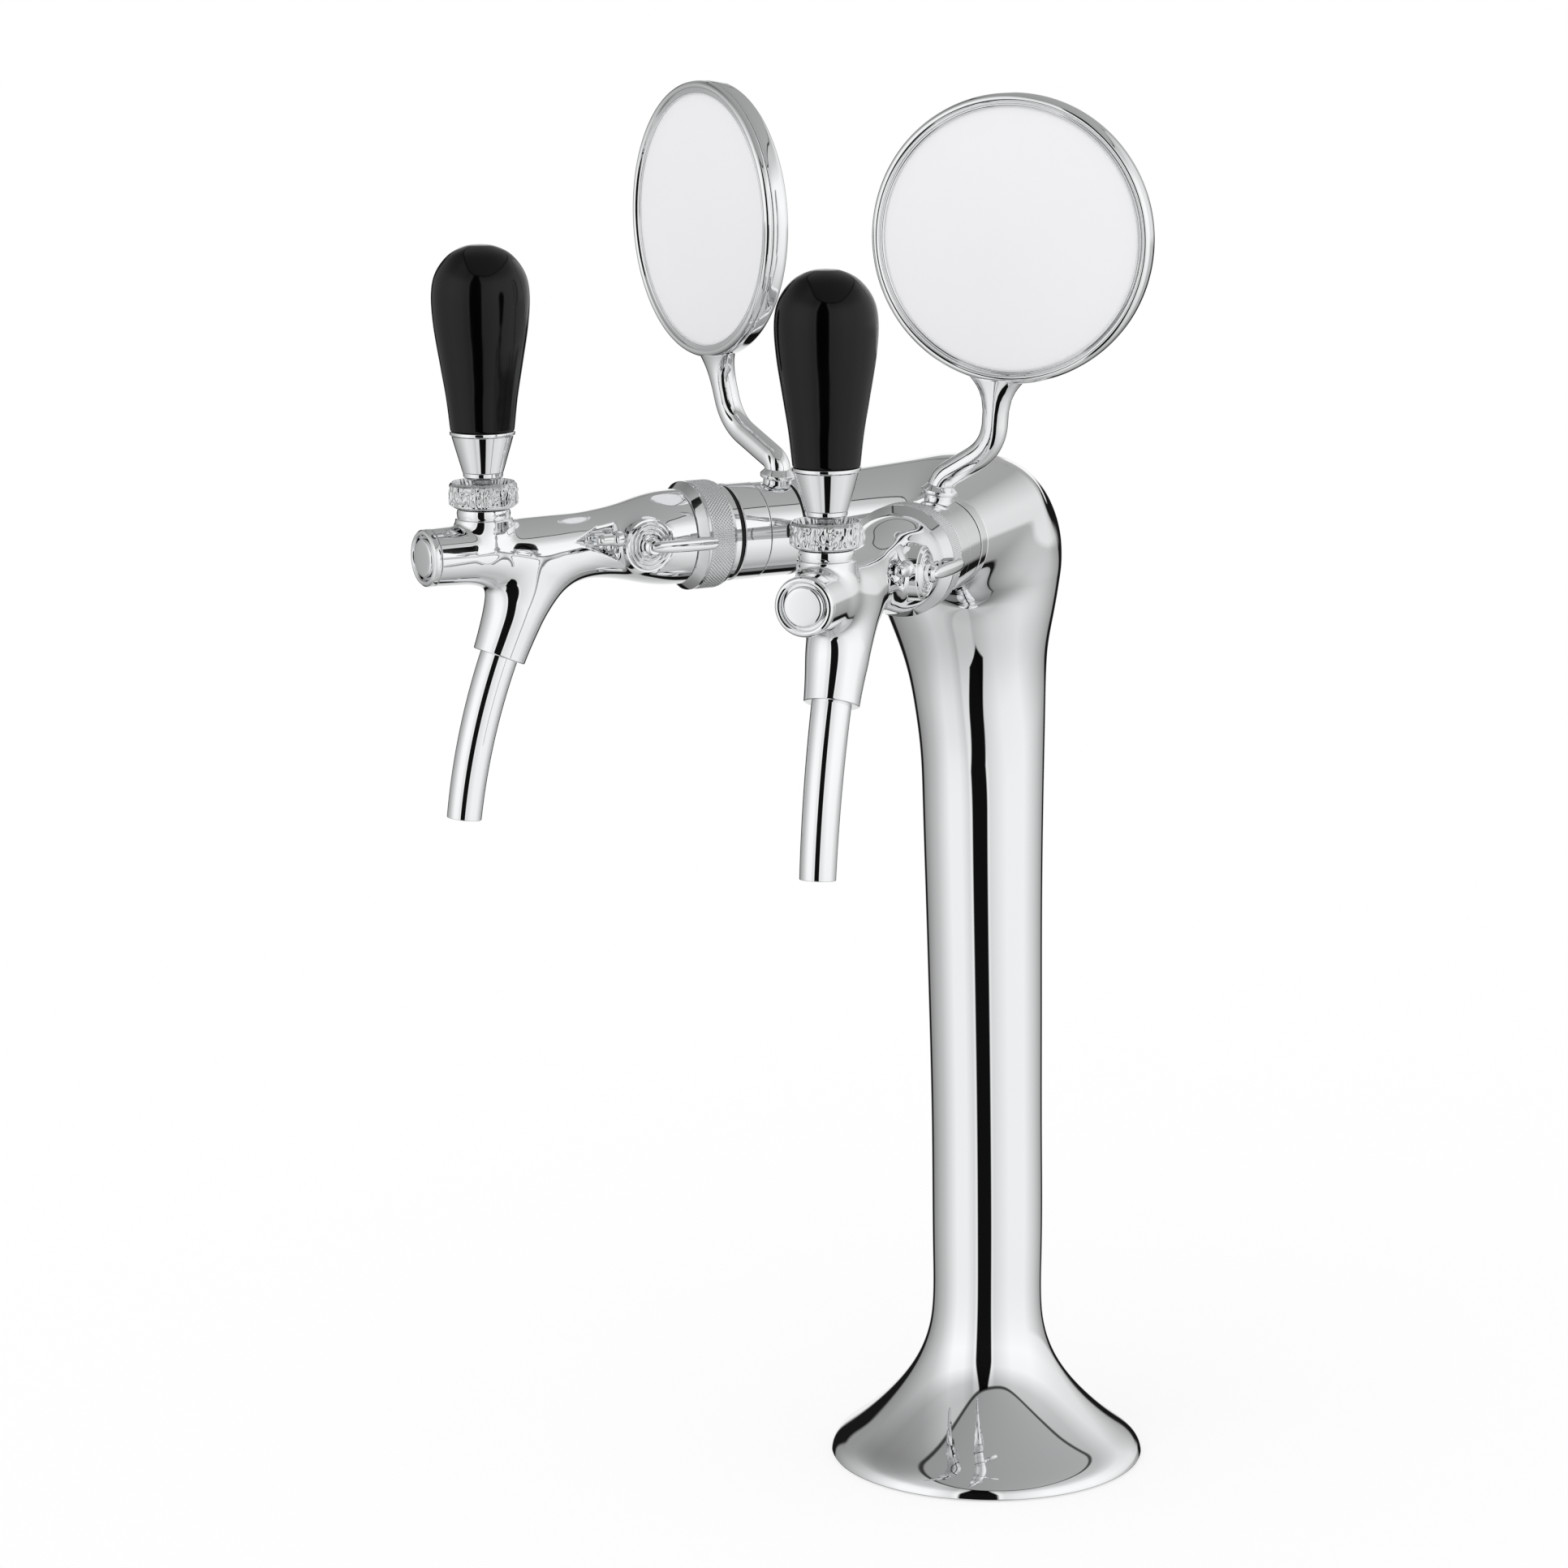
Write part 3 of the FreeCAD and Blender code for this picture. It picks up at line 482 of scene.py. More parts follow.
finishes = {
    # Chrome plate over hand-polished brass: a near-perfect mirror with faint hazier patches.
    "polished_chrome": metal_finish("chrome_plate_on_polished_brass", "#F1F2F3", 0.015, 0.04, 0.03),
    # The same plate over a cut knurl: each facet is a small mirror, a little softer than the plain parts. Its
    # tone is darker than the plain chrome: painted shade standing in for the shadow in the knurl's grooves.
    "knurled_chrome": metal_finish("knurled_chrome_with_painted_groove_shade", "#DFE0E1", 0.03, 0.07, 0.004),
    # Drawn stainless tube: duller than chrome.
    "stainless_tube": metal_finish("drawn_stainless_steel", "#C9CACB", 0.18, 0.30, 0.006, 0.00001, 0.0012),
    # Zinc-plated steel: pale grey and satin, with a cloudy bloom.
    "zinc_steel": metal_finish("zinc_plated_steel", "#B9BDC1", 0.28, 0.45, 0.008),
    # Moulded phenolic: deep black under a hard gloss.
    "gloss_black_plastic": plastic_finish("moulded_phenolic", "#020202", "#040405", 0.02, 0.09, 0.13, 1.55,
                                          0.24),
    # Opal cast acrylic: milky white, lit evenly through its thickness, with a smooth face.
    "opal_acrylic": plastic_finish("opal_cast_acrylic", "#F2F2F4", "#F3F3F5", 0.05, 0.40, 0.46, 1.49, 0.3),
    # Moulded nitrile rubber: matt black with a fine skin.
    "black_rubber": plastic_finish("moulded_nitrile_rubber", "#0B0B0B", "#141414", 0.006, 0.55, 0.70, 1.52,
                                   0.4, 0.00003, 0.0004),
    # Machined acetal: waxy off-white.
    "white_polymer": plastic_finish("machined_acetal", "#DAD9D3", "#E4E3DE", 0.01, 0.35, 0.45, 1.48),
    # Closed-cell foam: dark grey, dull, with cells about a millimetre across.
    "grey_foam": plastic_finish("closed_cell_foam", "#2B2C2E", "#3A3B3D", 0.002, 0.85, 0.95, 1.45, 0.3,
                                0.0003, 0.001),
}

node_slots = {part["node"]: part["material_slot"] for part in frame["record"]["subparts"]}
for node_name, node_object in frame["nodes"].items():
    node_object.data.materials.clear()
    node_object.data.materials.append(finishes[node_slots[node_name]])


def add_piece(name, mesh, side, body, slot, nodes=(), weighted=True):
    """Shows a mesh as a piece of the tower, in a side's tap frame or, with no side, in its own."""
    piece = bpy.data.objects.new(name, mesh)
    bpy.context.scene.collection.objects.link(piece)
    if not mesh.materials:
        mesh.materials.append(finishes[slot])
    if side:
        piece.matrix_world = arm_frame(side)
    if weighted:
        flats = piece.modifiers.new("flat_faces_stay_flat", "WEIGHTED_NORMAL")
        flats.weight = 50
    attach(piece, body)
    if nodes:
        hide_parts(*nodes)
    return piece


# ---- column casting ----------------------------------------------------------------------------
# (height, radius) of the foot, tube and head, and (height, lean to the front) of their centre.
foot_outline = [(-12, foot_radius), (-4, foot_radius), (1.5, foot_radius - 0.1), (5.0, 58.1), (10.8, 51.2),
                (18.3, 42.4), (25.2, 35.7), (35.0, 28.4), (44.6, 23.9), (53.0, 21.8), (tube_start, 21.0),
                (80.0, 21.05)]
trunk_radius = smooth_table(foot_outline + [
    (126, 21.2), (174, 21.6), (221, 22.2), (253, 22.8), (277, 23.4), (293, 24.0), (315, 24.5), (331, 25.4),
    (345, 25.1), (trunk_top, trunk_top_radius)])
trunk_lean = smooth_table([
    (tube_start, 0), (90, 0.1), (126, 0.7), (174, 2.0), (221, 3.5), (253, 4.3), (277, 4.9), (293, 5.6),
    (315, 5.4), (331, 4.9), (345, 5.0), (trunk_top, 3.8)])
arm_start = 20.0                # from the column's axis, along the arm
fork_edge = 2.0                 # half the width of the crease between the arms
throat_reach, nape_reach, crown_reach, shoulder_reach = 79.0, 5.3, 8.0, 6.5
crown_bottom, crown_top = 345.0, 380.0


def arm_distance(places):
    """Distance to the right arm."""
    turn = math.radians(-90 + arm_half_angle)
    x, y, z = places.T
    along = x * math.cos(turn) + y * math.sin(turn) - arm_start
    across = y * math.cos(turn) - x * math.sin(turn) - arm_offset
    slope = (arm_root_radius - arm_end_radius) / (arm_reach - badge_ring_length - arm_start)
    return round_cone(along, np.hypot(across, z - tap_height), arm_root_radius, slope / math.hypot(1, slope))


def hood_distance(places):
    """Distance to the egg-shaped hood, which is longer towards the arms and deeper below."""
    x, y, z = (places - np.array((0, -hood_forward, hood_height))).T
    depth = np.where(z > 0, hood_rise, hood_drop)
    level = np.sqrt((x / hood_width) ** 2 + (y / hood_length) ** 2 + (z / depth) ** 2)
    steepness = np.sqrt((x / hood_width ** 2) ** 2 + (y / hood_length ** 2) ** 2 + (z / depth ** 2) ** 2)
    return (level - 1) * level / np.maximum(steepness, 1e-6)


def column_distance(places):
    """The tube flows far into the hood at the throat, and less at the nape and the crown. Both
    halves are the mirror image of each other."""
    folded = places.copy()
    folded[:, 0] = np.hypot(places[:, 0], fork_edge)
    x, y, z = folded.T
    lean, _ = trunk_lean(z)
    off_axis = np.hypot(x, y + lean)
    dome = np.hypot(off_axis, z - trunk_top) - trunk_top_radius
    trunk = np.where(z > trunk_top, dome, turned_distance(z, off_axis, trunk_radius))
    frontness = (0.5 - 0.5 * (y + lean) / np.sqrt(off_axis ** 2 + 25)) ** 0.83
    rise = np.clip((z - crown_bottom) / (crown_top - crown_bottom), 0, 1)
    crown = rise ** 2 * (3 - 2 * rise)
    reach = nape_reach + (throat_reach - nape_reach) * frontness
    hood_and_arms = blended(hood_distance(folded), arm_distance(folded), shoulder_reach)
    return blended(trunk, hood_and_arms, reach + (crown_reach - reach) * crown)


def column_casting():
    """Foot, tube, head and both arms, with the hollow that opens under the foot."""
    foot = lathed("foot_blank", [(-5, 0)] + foot_outline[1:] + [(120, 0)], "Z")
    bars = []
    for start, end, radius in (((0, 0, 70), (0, -5, 290), 21.5), ((0, -5, 270), (0, -4, 350), 25.0),
                               ((0, -12, 296), (0, -22, 345), 24.0)):
        bars.append(swept("bar_blank", [start, end], [radius, radius]))
    hood = lathed("hood_blank", [(308, 0), (314, 20), (326, 28), (340, 33), (356, 35), (372, 32), (384, 23),
                                 (391, 0)], "Z")
    hood.transform(Matrix.Diagonal((1, 1.1, 1, 1)))
    hood.transform(Matrix.Translation((0, -15 * MM, 0)))
    for side in SIDES:
        start, end = (arm_frame(side) @ Vector((x * MM, 0, 0)) / MM for x in (-80.0, -12.0))
        bars.append(swept("arm_blank", [start, end], [20.0, 18.0]))
    cuts = [((0, 0, 1.2), (0, 0, -1), 200.0)]
    rims = [[(0.5, 0.15), (0.3, 0.5), (0, 1.8), (-6.6, 5.2), (-10, 10.0), (-9, 9.3), (-13, 9.6), (-20, 5.3),
             (-222, 1.0)]]
    for side in SIDES:
        cuts.append((arm_frame(side) @ Vector(((-badge_ring_length - 0.4) * MM, 0, 0)) / MM,
                     arm_frame(side).to_3x3() @ Vector((1, 0, 0)), 30.0))
        rims.append([(0.28, 0.12), (0.12, 0.4), (0.0, 3.0)])
    blank = joined("column_blank", [foot, hood] + bars)
    return cast("column_casting", column_distance, blank, 1.3, cuts, rims)


add_piece("column_casting", column_casting(), None, "tower", "polished_chrome", ["tower_column"],
          weighted=False)


# ---- tap casting -------------------------------------------------------------------------------
def spout_direction(angle):
    """Unit vector down and outward at an angle from the vertical."""
    lean = math.radians(angle)
    return np.array((math.sin(lean), 0.0, -math.cos(lean)))


barrel_outline = [(20, 17.1), (29.0, 17.1), (36.0, 16.95), (45.0, 15.6), (53.0, 13.75), (63.0, 12.2),
                  (79.0, 11.0), (96.0, 11.0), (112.0, 10.6), (128.0, 10.1), (140, 9.8)]
barrel_radius = smooth_table(barrel_outline)
socket_end = np.array((socket_x, 0.0, socket_z))
socket_outline = [(-9, 9.5), (0.0, 9.5), (8.0, 9.8), (16.0, 9.6), (25.0, 10.1), (33.0, 10.0)]
socket_radius_at = smooth_table(socket_outline)
neck_radius, neck_top = 10.0, 12.6
pocket_front, pocket_rear, pocket_floor, pocket_spread = 76.0, 60.0, 9.3, 0.47
heel_start, heel_end, heel_radius = (79.2, 0, -3.8), (95.2, 0, -20.9), 8.4
boss_shoulder = 14.5            # where the boss's plain side ends, from the tap's axis
# How far the tap's parts flow into each other.
neck_reach, heel_reach, socket_reach, boss_reach = 4.0, 10.7, 14.6, 3.0
boss_edge, pocket_edge = 0.4, 1.0


def tap_distance(places):
    """Distance to the barrel with its lever neck, heel, spout socket, boss and pin pocket."""
    x, y, z = places.T
    barrel = turned_distance(x, np.hypot(y, z), barrel_radius)
    solid = blended(barrel, round_cone(z, np.hypot(x - handle_x, y), neck_radius), neck_reach)
    up = -spout_direction(spout_angle)
    rise = (places - socket_end) @ up
    off_axis = np.linalg.norm(places - socket_end - rise[:, None] * up, axis=1)
    socket_top = socket_outline[-1][0]
    cap = np.hypot(off_axis, rise - socket_top) - socket_outline[-1][1]
    socket = np.where(rise > socket_top, cap, turned_distance(rise, off_axis, socket_radius_at))
    heel = capsule(places, heel_start, heel_end, heel_radius)
    solid = blended(solid, blended(socket, heel, heel_reach), socket_reach)
    off_boss = np.hypot(x - compensator_x, z)
    solid = blended(solid, np.maximum(off_boss - boss_radius + 0.3, y - boss_shoulder), boss_reach)
    solid = carved(solid, np.maximum(off_boss - boss_radius, boss_face - 0.6 - y), boss_edge)
    slant = math.hypot(1, pocket_spread)
    walls = (np.abs(z - pin_height) - (pocket_front - x) * pocket_spread) / slant
    wedge = np.maximum(np.maximum(walls, pocket_rear - x), pocket_floor - y)
    return carved(solid, wedge, pocket_edge)


def tap_casting():
    """Barrel, lever neck, spout socket and compensator boss, cast in one."""
    blanks = [lathed("barrel_blank", [(26, 0)] + barrel_outline[1:-1] + [(131, 0)])]
    blanks.append(lathed("neck_blank", [(0, 0), (0, 9.6), (18, 9.6), (18, 0)], "Z", (handle_x, 0, 0)))
    blanks.append(lathed("boss_blank", [(0, 0), (0, boss_radius), (15.4, boss_radius), (15.4, 0)], "Y",
                         (compensator_x, 0, 0)))
    down = spout_direction(spout_angle)
    blanks.append(swept("socket_blank", [socket_end + down * 9, socket_end - down * 34], [9.0, 11.0]))
    blanks.append(swept("heel_blank", [(74, 0, -2), (95, 0, -26)], [10.0, 9.5]))
    cuts = [((body_rear + 0.5, 0, 0), (-1, 0, 0), 20.0), ((body_front - 0.3, 0, 0), (1, 0, 0), 16.0),
            ((handle_x, 0, neck_top - 0.7), (0, 0, 1), 13.0),
            (tuple(socket_end - down * 0.6), tuple(down), 14.0)]
    soft_edge = [(0.2, 0.06), (0.1, 0.14), (0.0, 1.2)]
    shoulder = [(0.3, 0.07), (0.25, 0.2), (0.12, 0.3), (0.03, 0.3), (0.0, 2.0)]
    rims = [soft_edge, soft_edge, shoulder, [(0.35, 0.1), (0.2, 0.25), (0.05, 0.6)]]
    return cast("tap_casting", tap_distance, joined("tap_blank", blanks), 0.75, cuts, rims)


def union_nut():
    """Nut with a polished chamfer in front of a fine diamond knurl."""
    pitch, depth = 1.30, 0.42
    count = round(2 * math.pi * nut_radius / pitch)
    first, last = nut_rear + 1.3, nut_front - 4.4

    def knurl(along, angle):
        if not first < along < last:
            return 0.0
        fade = min(1.0, (along - first) / 0.5, (last - along) / 0.5)
        around, across = angle * count / (2 * math.pi), along / pitch
        ridges = [1 - abs(2 * ((around + hand * across) % 1.0) - 1) for hand in (1, -1)]
        return fade * depth * (min(ridges) - 0.5)

    band = [(first + (last - first) * step / 54, nut_radius - 0.2) for step in range(55)]
    outline = ([(nut_rear, 12.0)] + eased([(nut_rear, 12.0), (nut_rear, nut_radius - 1.0),
               (nut_rear + 0.6, nut_radius - 0.35), (first, nut_radius - 0.35)], 0.3)[1:] + band
               + eased([(last, nut_radius - 0.35), (last + 0.5, nut_radius), (nut_front - 3.0, nut_radius),
                        (nut_front - 0.5, 17.2), (nut_front, 16.4), (nut_front, 12.0)], 0.35))
    return lathed("union_nut", outline, segments=count * 6, ring=True, relief=knurl)


def lock_nut():
    """Round nut with soft edges; its side is an uneven cast grain of small upright lumps."""
    radius, lump_width, lump_height, depth = 12.0, 1.15, 2.1, 0.95
    bottom, top = 16.3, 25.3

    def grain(along, angle):
        rise = (along - bottom) / (top - bottom)
        fade = max(0.0, min(1.0, (rise - 0.04) / 0.12, (0.96 - rise) / 0.12))
        lump = Vector((math.cos(angle) * radius / lump_width, math.sin(angle) * radius / lump_width,
                       along / lump_height))
        return fade * depth * max(-0.35, min(0.35, noise.noise(lump)))

    side = [(bottom + 1.3 + (top - bottom - 2.4) * step / 56, radius - 0.1) for step in range(57)]
    outline = (eased([(bottom, 9.1), (bottom, radius - 1.6), (bottom + 1.3, radius - 0.1)], 0.6) + side
               + eased([(top - 1.1, radius - 0.1), (top, 11.25), (top, 10.95), (top - 2.6, 10.1),
                        (top - 2.6, 5.6), (top - 3.6, 6.1), (top - 3.6, 9.1)], 0.5))
    return lathed("lock_nut", outline, "Z", (handle_x, 0, 0), 480, ring=True, relief=grain)


def neck_ring():
    """Plain ring of the lever neck that the lock nut is screwed on to."""
    outline = [(11.8, 8.0), (11.8, 8.9), (12.9, 9.35), (14.4, 9.5), (15.7, 9.2), (16.2, 8.6), (20.8, 8.6),
               (20.8, 8.0)]
    return lathed("neck_ring", eased(outline, 0.3, True), "Z", (handle_x, 0, 0), ring=True)


def ring_piece(name, radius, start, end, ease=0.3, bore=10.6):
    """Plain turned ring with eased edges."""
    outline = [(start, bore), (start, radius), (end, radius), (end, bore)]
    return lathed(name, eased(outline, ease, True), ring=True)


def badge_ring():
    """Ring under the badge's stem: a plain part, a groove and a rear band, with a small boss."""
    radius, front, rear = arm_end_radius, -0.15, -badge_ring_length + 0.15
    outline = [(front, 14.1), (front, radius), (-13.6, radius), (-13.6, 15.7), (-14.9, 15.7),
               (-14.9, radius), (rear, radius), (rear, 14.1)]
    body = lathed("badge_ring", eased(outline, 0.25, True), ring=True)
    boss = lathed("boss", eased([(12.0, 0), (12.0, 5.2), (18.75, 5.2), (18.75, 0)], 0.3), "Z",
                  (badge_foot_x, 0, 0))
    boss.transform(Matrix.Rotation(math.radians(-badge_foot_turn), 4, "X"))
    return joined("badge_ring", [body, boss])


def spout_tube():
    """Bent outlet tube, open at the tip."""
    entry = socket_end
    down = spout_direction(spout_angle)
    centre = entry + np.array((down[2], 0, -down[0])) * spout_bend
    path, outer = [entry - down * 12.0, entry - down * 6.0], [spout_radius] * 2
    steps = 28
    for step in range(steps + 1):
        angle = spout_angle + (spout_end_angle - spout_angle) * step / steps
        direction = spout_direction(angle)
        path.append(centre - np.array((direction[2], 0, -direction[0])) * spout_bend)
        outer.append(spout_radius + (spout_tip_radius - spout_radius) * step / steps)
    last, direction = path[-1], spout_direction(spout_end_angle)
    path[-1] = last - direction * 0.25
    path += [last - direction * 0.08, last, last, last - direction * 0.15, last - direction * 20.0]
    outer += [outer[-1] - 0.06, outer[-1] - 0.25, spout_bore + 0.2, spout_bore, spout_bore]
    return swept("spout_tube", path, outer, last_direction=direction, last_count=6)


def front_bush():
    """Rounded ring at the tap's front, with the groove that the button sits in."""
    outline = [(124.0, 7.75), (124.0, 9.0), (body_front + 0.1, 9.0), (body_front + 0.1, 9.95), (128.7, 10.2),
               (129.6, 10.22), (130.5, 10.0), (131.0, 9.5), (front_face, 8.9), (131.05, 8.3), (130.6, 7.95),
               (129.4, 7.75)]
    return lathed("front_bush", eased(outline, 0.15, True), ring=True)


def front_button():
    dome = flowing([(130.8, 6.8), (131.25, 6.35), (131.42, 5.4), (131.52, 3.0), (131.56, 0.0)], 5)
    return lathed("front_button", [(123.2, 0), (123.2, 6.9), (129.9, 6.9)] + dome)


def ferrule():
    """Cone under the knob, with a plain band at its top."""
    outline = [(26.4, 0), (26.4, 6.2), (27.2, 7.0), (28.6, 7.1), (28.9, 7.3), (41.6, 11.0), (42.0, 11.5),
               (43.15, 11.55), (43.15, 0)]
    return lathed("ferrule", eased(outline, 0.3), "Z", (handle_x, 0, 0))


def knob():
    """Pear-shaped knob, widest near its round top."""
    side = flowing([(44.2, 11.35), (55.0, 12.6), (66.0, 14.4), (80.0, 16.6), (91.0, 17.2), (98.5, 15.6),
                    (104.6, 11.0), (107.6, 5.2), (108.2, 0.0)], 10)
    outline = [(43.25, 0), (43.25, 11.0), (43.6, 11.3)] + side
    return lathed("knob", outline, "Z", (handle_x, 0, 0), 160)


def compensator_cap():
    """Turned cap: three round ridges inside the boss's rim."""
    outline = [(12.0, 0.0), (12.0, boss_radius), (boss_face, boss_radius), (boss_face + 0.05, 8.75)]
    for crest in (7.9, 6.35, 4.8):
        outline += [(boss_face + rise, crest + off) for rise, off in
                    ((0.35, 0.75), (1.0, 0.4), (1.2, 0.0), (1.0, -0.4), (0.35, -0.75))]
    outline += [(boss_face + 0.3, 3.6), (boss_face + 0.3, 0.0)]
    return lathed("compensator_cap", eased(outline, 0.12), "Y", (compensator_x, 0, 0))


def compensator_lever():
    """Hub and a flat finger lever that tapers into it."""
    hub = lathed("hub", eased([(15.9, 0), (15.9, 3.3), (19.2, 3.3), (20.4, 2.6), (20.4, 0)], 0.4), "Y",
                 (compensator_x, 0, 0))
    form = bmesh.new()
    rows = []
    # Along the blade from the hub: place, half height, and its two faces' distance from the tap's axis.
    for along, half, inner, outer in ((2.6, 1.0, 18.6, 20.9), (0.0, 2.1, 18.4, 21.6), (-4.5, 2.5, 19.4, 22.6),
                                      (-13.0, 2.55, 20.3, 23.4), (-20.0, 2.6, 20.3, 23.6),
                                      (-23.4, 2.3, 20.4, 23.5), (-24.6, 1.2, 20.9, 23.0)):
        rows.append([form.verts.new(Vector((compensator_x + along, y, z)) * MM)
                     for y, z in ((inner, -half), (outer, -half), (outer, half), (inner, half))])
    for near, far in zip(rows, rows[1:]):
        for index in range(4):
            form.faces.new((near[index], near[index - 1], far[index - 1], far[index]))
    form.faces.new(rows[0])
    form.faces.new(reversed(rows[-1]))
    blade = bpy.data.meshes.new("blade")
    bmesh.ops.recalc_face_normals(form, faces=form.faces)
    form.to_mesh(blade)
    form.free()
    return joined("compensator_lever", [hub, subdivided(blade, 4)])


def stop_pin():
    """Pin with a round collar and a domed end."""
    collar = flowing([(58.6, 2.3), (59.6, 2.85), (61.0, 2.95), (62.4, 2.7), (63.2, 2.1)], 4)
    dome = flowing([(67.4, 2.05), (68.5, 1.6), (69.0, 0.9), (69.15, 0.0)], 4)
    outline = [(57.0, 0), (57.0, 2.2), (58.4, 2.2)] + collar + [(66.6, 2.1)] + dome
    return lathed("stop_pin", outline, "X", (0, pin_side, pin_height), 64)


# ---- badge -------------------------------------------------------------------------------------
def badge_housing():
    """Drum behind the face: slightly crowned side and a rounded back edge."""
    wall = flowing([(-badge_depth + 0.1, 47.4), (-badge_depth + 0.8, 48.9), (-badge_depth + 2.2, 49.8),
                    (-6.2, 50.05), (-4.4, 50.05), (-3.25, 49.8)], 5)
    outline = [(-badge_depth, 0.0), (-badge_depth, 46.0)] + wall + [(-3.15, 49.0), (-3.15, 0.0)]
    return lathed("badge_housing", outline, segments=badge_segments)


def badge_bezel():
    """Rolled front ring with a groove and a small inner bead."""
    roll = flowing([(-3.0, 49.8), (-2.3, badge_radius), (-1.2, 49.85), (-0.35, 49.2), (0.0, 48.3),
                    (-0.3, 47.45), (-1.0, 47.0)], 5)
    bead = flowing([(-1.25, 46.85), (-0.85, 46.5), (-0.75, 46.1), (-1.0, 45.65), (-1.5, 45.5)], 4)
    back = [(-1.6, 45.5), (-1.6, 47.0), (-3.05, 47.0)]
    return lathed("badge_bezel", roll + bead + back, segments=badge_segments, ring=True)


def badge_face():
    return lathed("badge_face", [(-3.0, 0), (-3.0, 46.8), (-1.7, 46.8), (-1.7, 0)], segments=badge_segments)


def badge_stem(side):
    """Bent stem with a foot flange below and a small flare under the drum."""
    hand = SIDES[side]
    turn = Matrix.Rotation(math.radians(-badge_foot_turn), 3, "X")
    foot = turn @ Vector((badge_foot_x, 0, 19.0))
    rise = turn @ Vector((badge_foot_x, 0, 24.4))
    knee = Vector((-7.0, hand * 23.6, 36.5))
    top = Vector((badge_front - badge_depth / 2, hand * 26.5, badge_height - 47.5))
    path = rounded([foot, rise, knee, top], [4.6, 9.0])
    radii, widths = [], []
    for point in path:
        near = max(0.0, 1 - (top - point).length / 15.0)
        radii.append(stem_radius + 0.5 * near ** 2)
        widths.append(1 + 1.25 * near ** 2.4)
    bar = swept("stem_bar", path, radii, stretch=(Vector((0, 1, 0)), widths))
    outline = [(18.95, 0), (18.95, 6.4), (20.3, 6.5), (21.6, 5.2), (22.4, 4.4), (22.4, 0)]
    flange = lathed("stem_flange", eased(outline, 0.5), "Z", (badge_foot_x, 0, 0))
    flange.transform(turn.to_4x4())
    return joined("badge_stem", [bar, flange])


# ---- placing the pieces --------------------------------------------------------------------------
shared = {
    "tap_casting": (tap_casting(), "tower", "polished_chrome", "tap_body"),
    "nut": (union_nut(), "tower", "knurled_chrome", "union_nut"),
    "top_nut": (lock_nut(), "tower", "knurled_chrome", "lock_nut"),
    "neck_end": (neck_ring(), "tower", "polished_chrome", "tap_body"),
    "ring_under_badge": (badge_ring(), "tower", "polished_chrome", "badge_ring"),
    "shank_collar": (ring_piece("shank_collar", 17.6, 0.1, collar_length, 0.5), "tower", "polished_chrome",
                     "collar"),
    "outlet": (spout_tube(), "tower", "polished_chrome", "spout_tube"),
    "nose_ring": (front_bush(), "tower", "polished_chrome", "front_bush"),
    "nose_button": (front_button(), "plunger_set", "polished_chrome", "front_button"),
    "handle_cone": (ferrule(), "handle", "polished_chrome", "ferrule"),
    "handle_knob": (knob(), "handle", "gloss_black_plastic", "knob"),
    "flow_cap": (compensator_cap(), "tower", "polished_chrome", "compensator_cap"),
    "flow_finger": (compensator_lever(), "flow_lever", "polished_chrome", "compensator_lever"),
    "flow_pin": (stop_pin(), "tower", "polished_chrome", "stop_pin"),
}
for side, hand in SIDES.items():
    for name, (mesh, body, slot_name, node_name) in shared.items():
        body_name = body if body == "tower" else f"{body}_{side}"
        add_piece(f"{name}_{side}", mesh, side, body_name, slot_name, [f"{node_name}_{side}"],
                  weighted=name != "tap_casting")
    to_badge = Matrix.Translation(Vector((badge_front, hand * badge_side, badge_height)) * MM)
    for name, build, slot_name, node_name in (
            ("badge_drum", badge_housing, "polished_chrome", "medallion_housing"),
            ("badge_rim", badge_bezel, "polished_chrome", "medallion_bezel"),
            ("badge_panel", badge_face, "opal_acrylic", "medallion_lens")):
        mesh = build()
        mesh.transform(to_badge)
        add_piece(f"{name}_{side}", mesh, side, "tower", slot_name, [f"{node_name}_{side}"])
    add_piece(f"stem_{side}", badge_stem(side), side, "tower", "polished_chrome", [f"badge_stem_{side}"])


# ---- studio --------------------------------------------------------------------------------------
camera_place = Vector((1044.9, -1399.4, 616.4)) * MM
facing = math.radians(36.745)           # how far round the tower the lens stands
yaw, pitch, roll = math.radians(-2.55), math.radians(11.44), math.radians(-0.17)
lens_mm, film_mm = 108.48, 36.0

forward = Matrix.Rotation(facing, 3, "Z") @ Vector((math.sin(yaw) * math.cos(pitch),
                                                    math.cos(yaw) * math.cos(pitch), -math.sin(pitch)))
level_right = forward.cross(Vector((0, 0, 1))).normalized()
level_up = level_right.cross(forward)
picture_right = level_right * math.cos(roll) + level_up * math.sin(roll)
picture_up = level_up * math.cos(roll) - level_right * math.sin(roll)

camera_data = bpy.data.cameras.new("camera")
camera_data.lens = lens_mm
camera_data.sensor_width = film_mm
camera_data.sensor_fit = "HORIZONTAL"
camera_data.clip_end = 30.0
camera = bpy.data.objects.new("camera", camera_data)
bpy.context.scene.collection.objects.link(camera)
camera.matrix_world = Matrix.Translation(camera_place) @ Matrix(
    (picture_right, picture_up, -forward)).transposed().to_4x4()
bpy.context.scene.camera = camera
bpy.context.scene.view_settings.view_transform = "Standard"


def ramp(tree, value, low, high, stops):
    """Grey level from a list of (place, level) stops between low and high."""
    scaled = add_node(tree, "ShaderNodeMapRange", inputs={"Value": value, "From Min": low, "From Max": high})
    made = add_node(tree, "ShaderNodeValToRGB", inputs={"Fac": scaled.outputs["Result"]})
    band = made.color_ramp
    while len(band.elements) < len(stops):
        band.elements.new(0.5)
    for element, (place, level) in zip(band.elements, sorted(stops)):
        element.position = (place - low) / (high - low)
        element.color = (level, level, level, 1)
    return made.outputs["Color"]


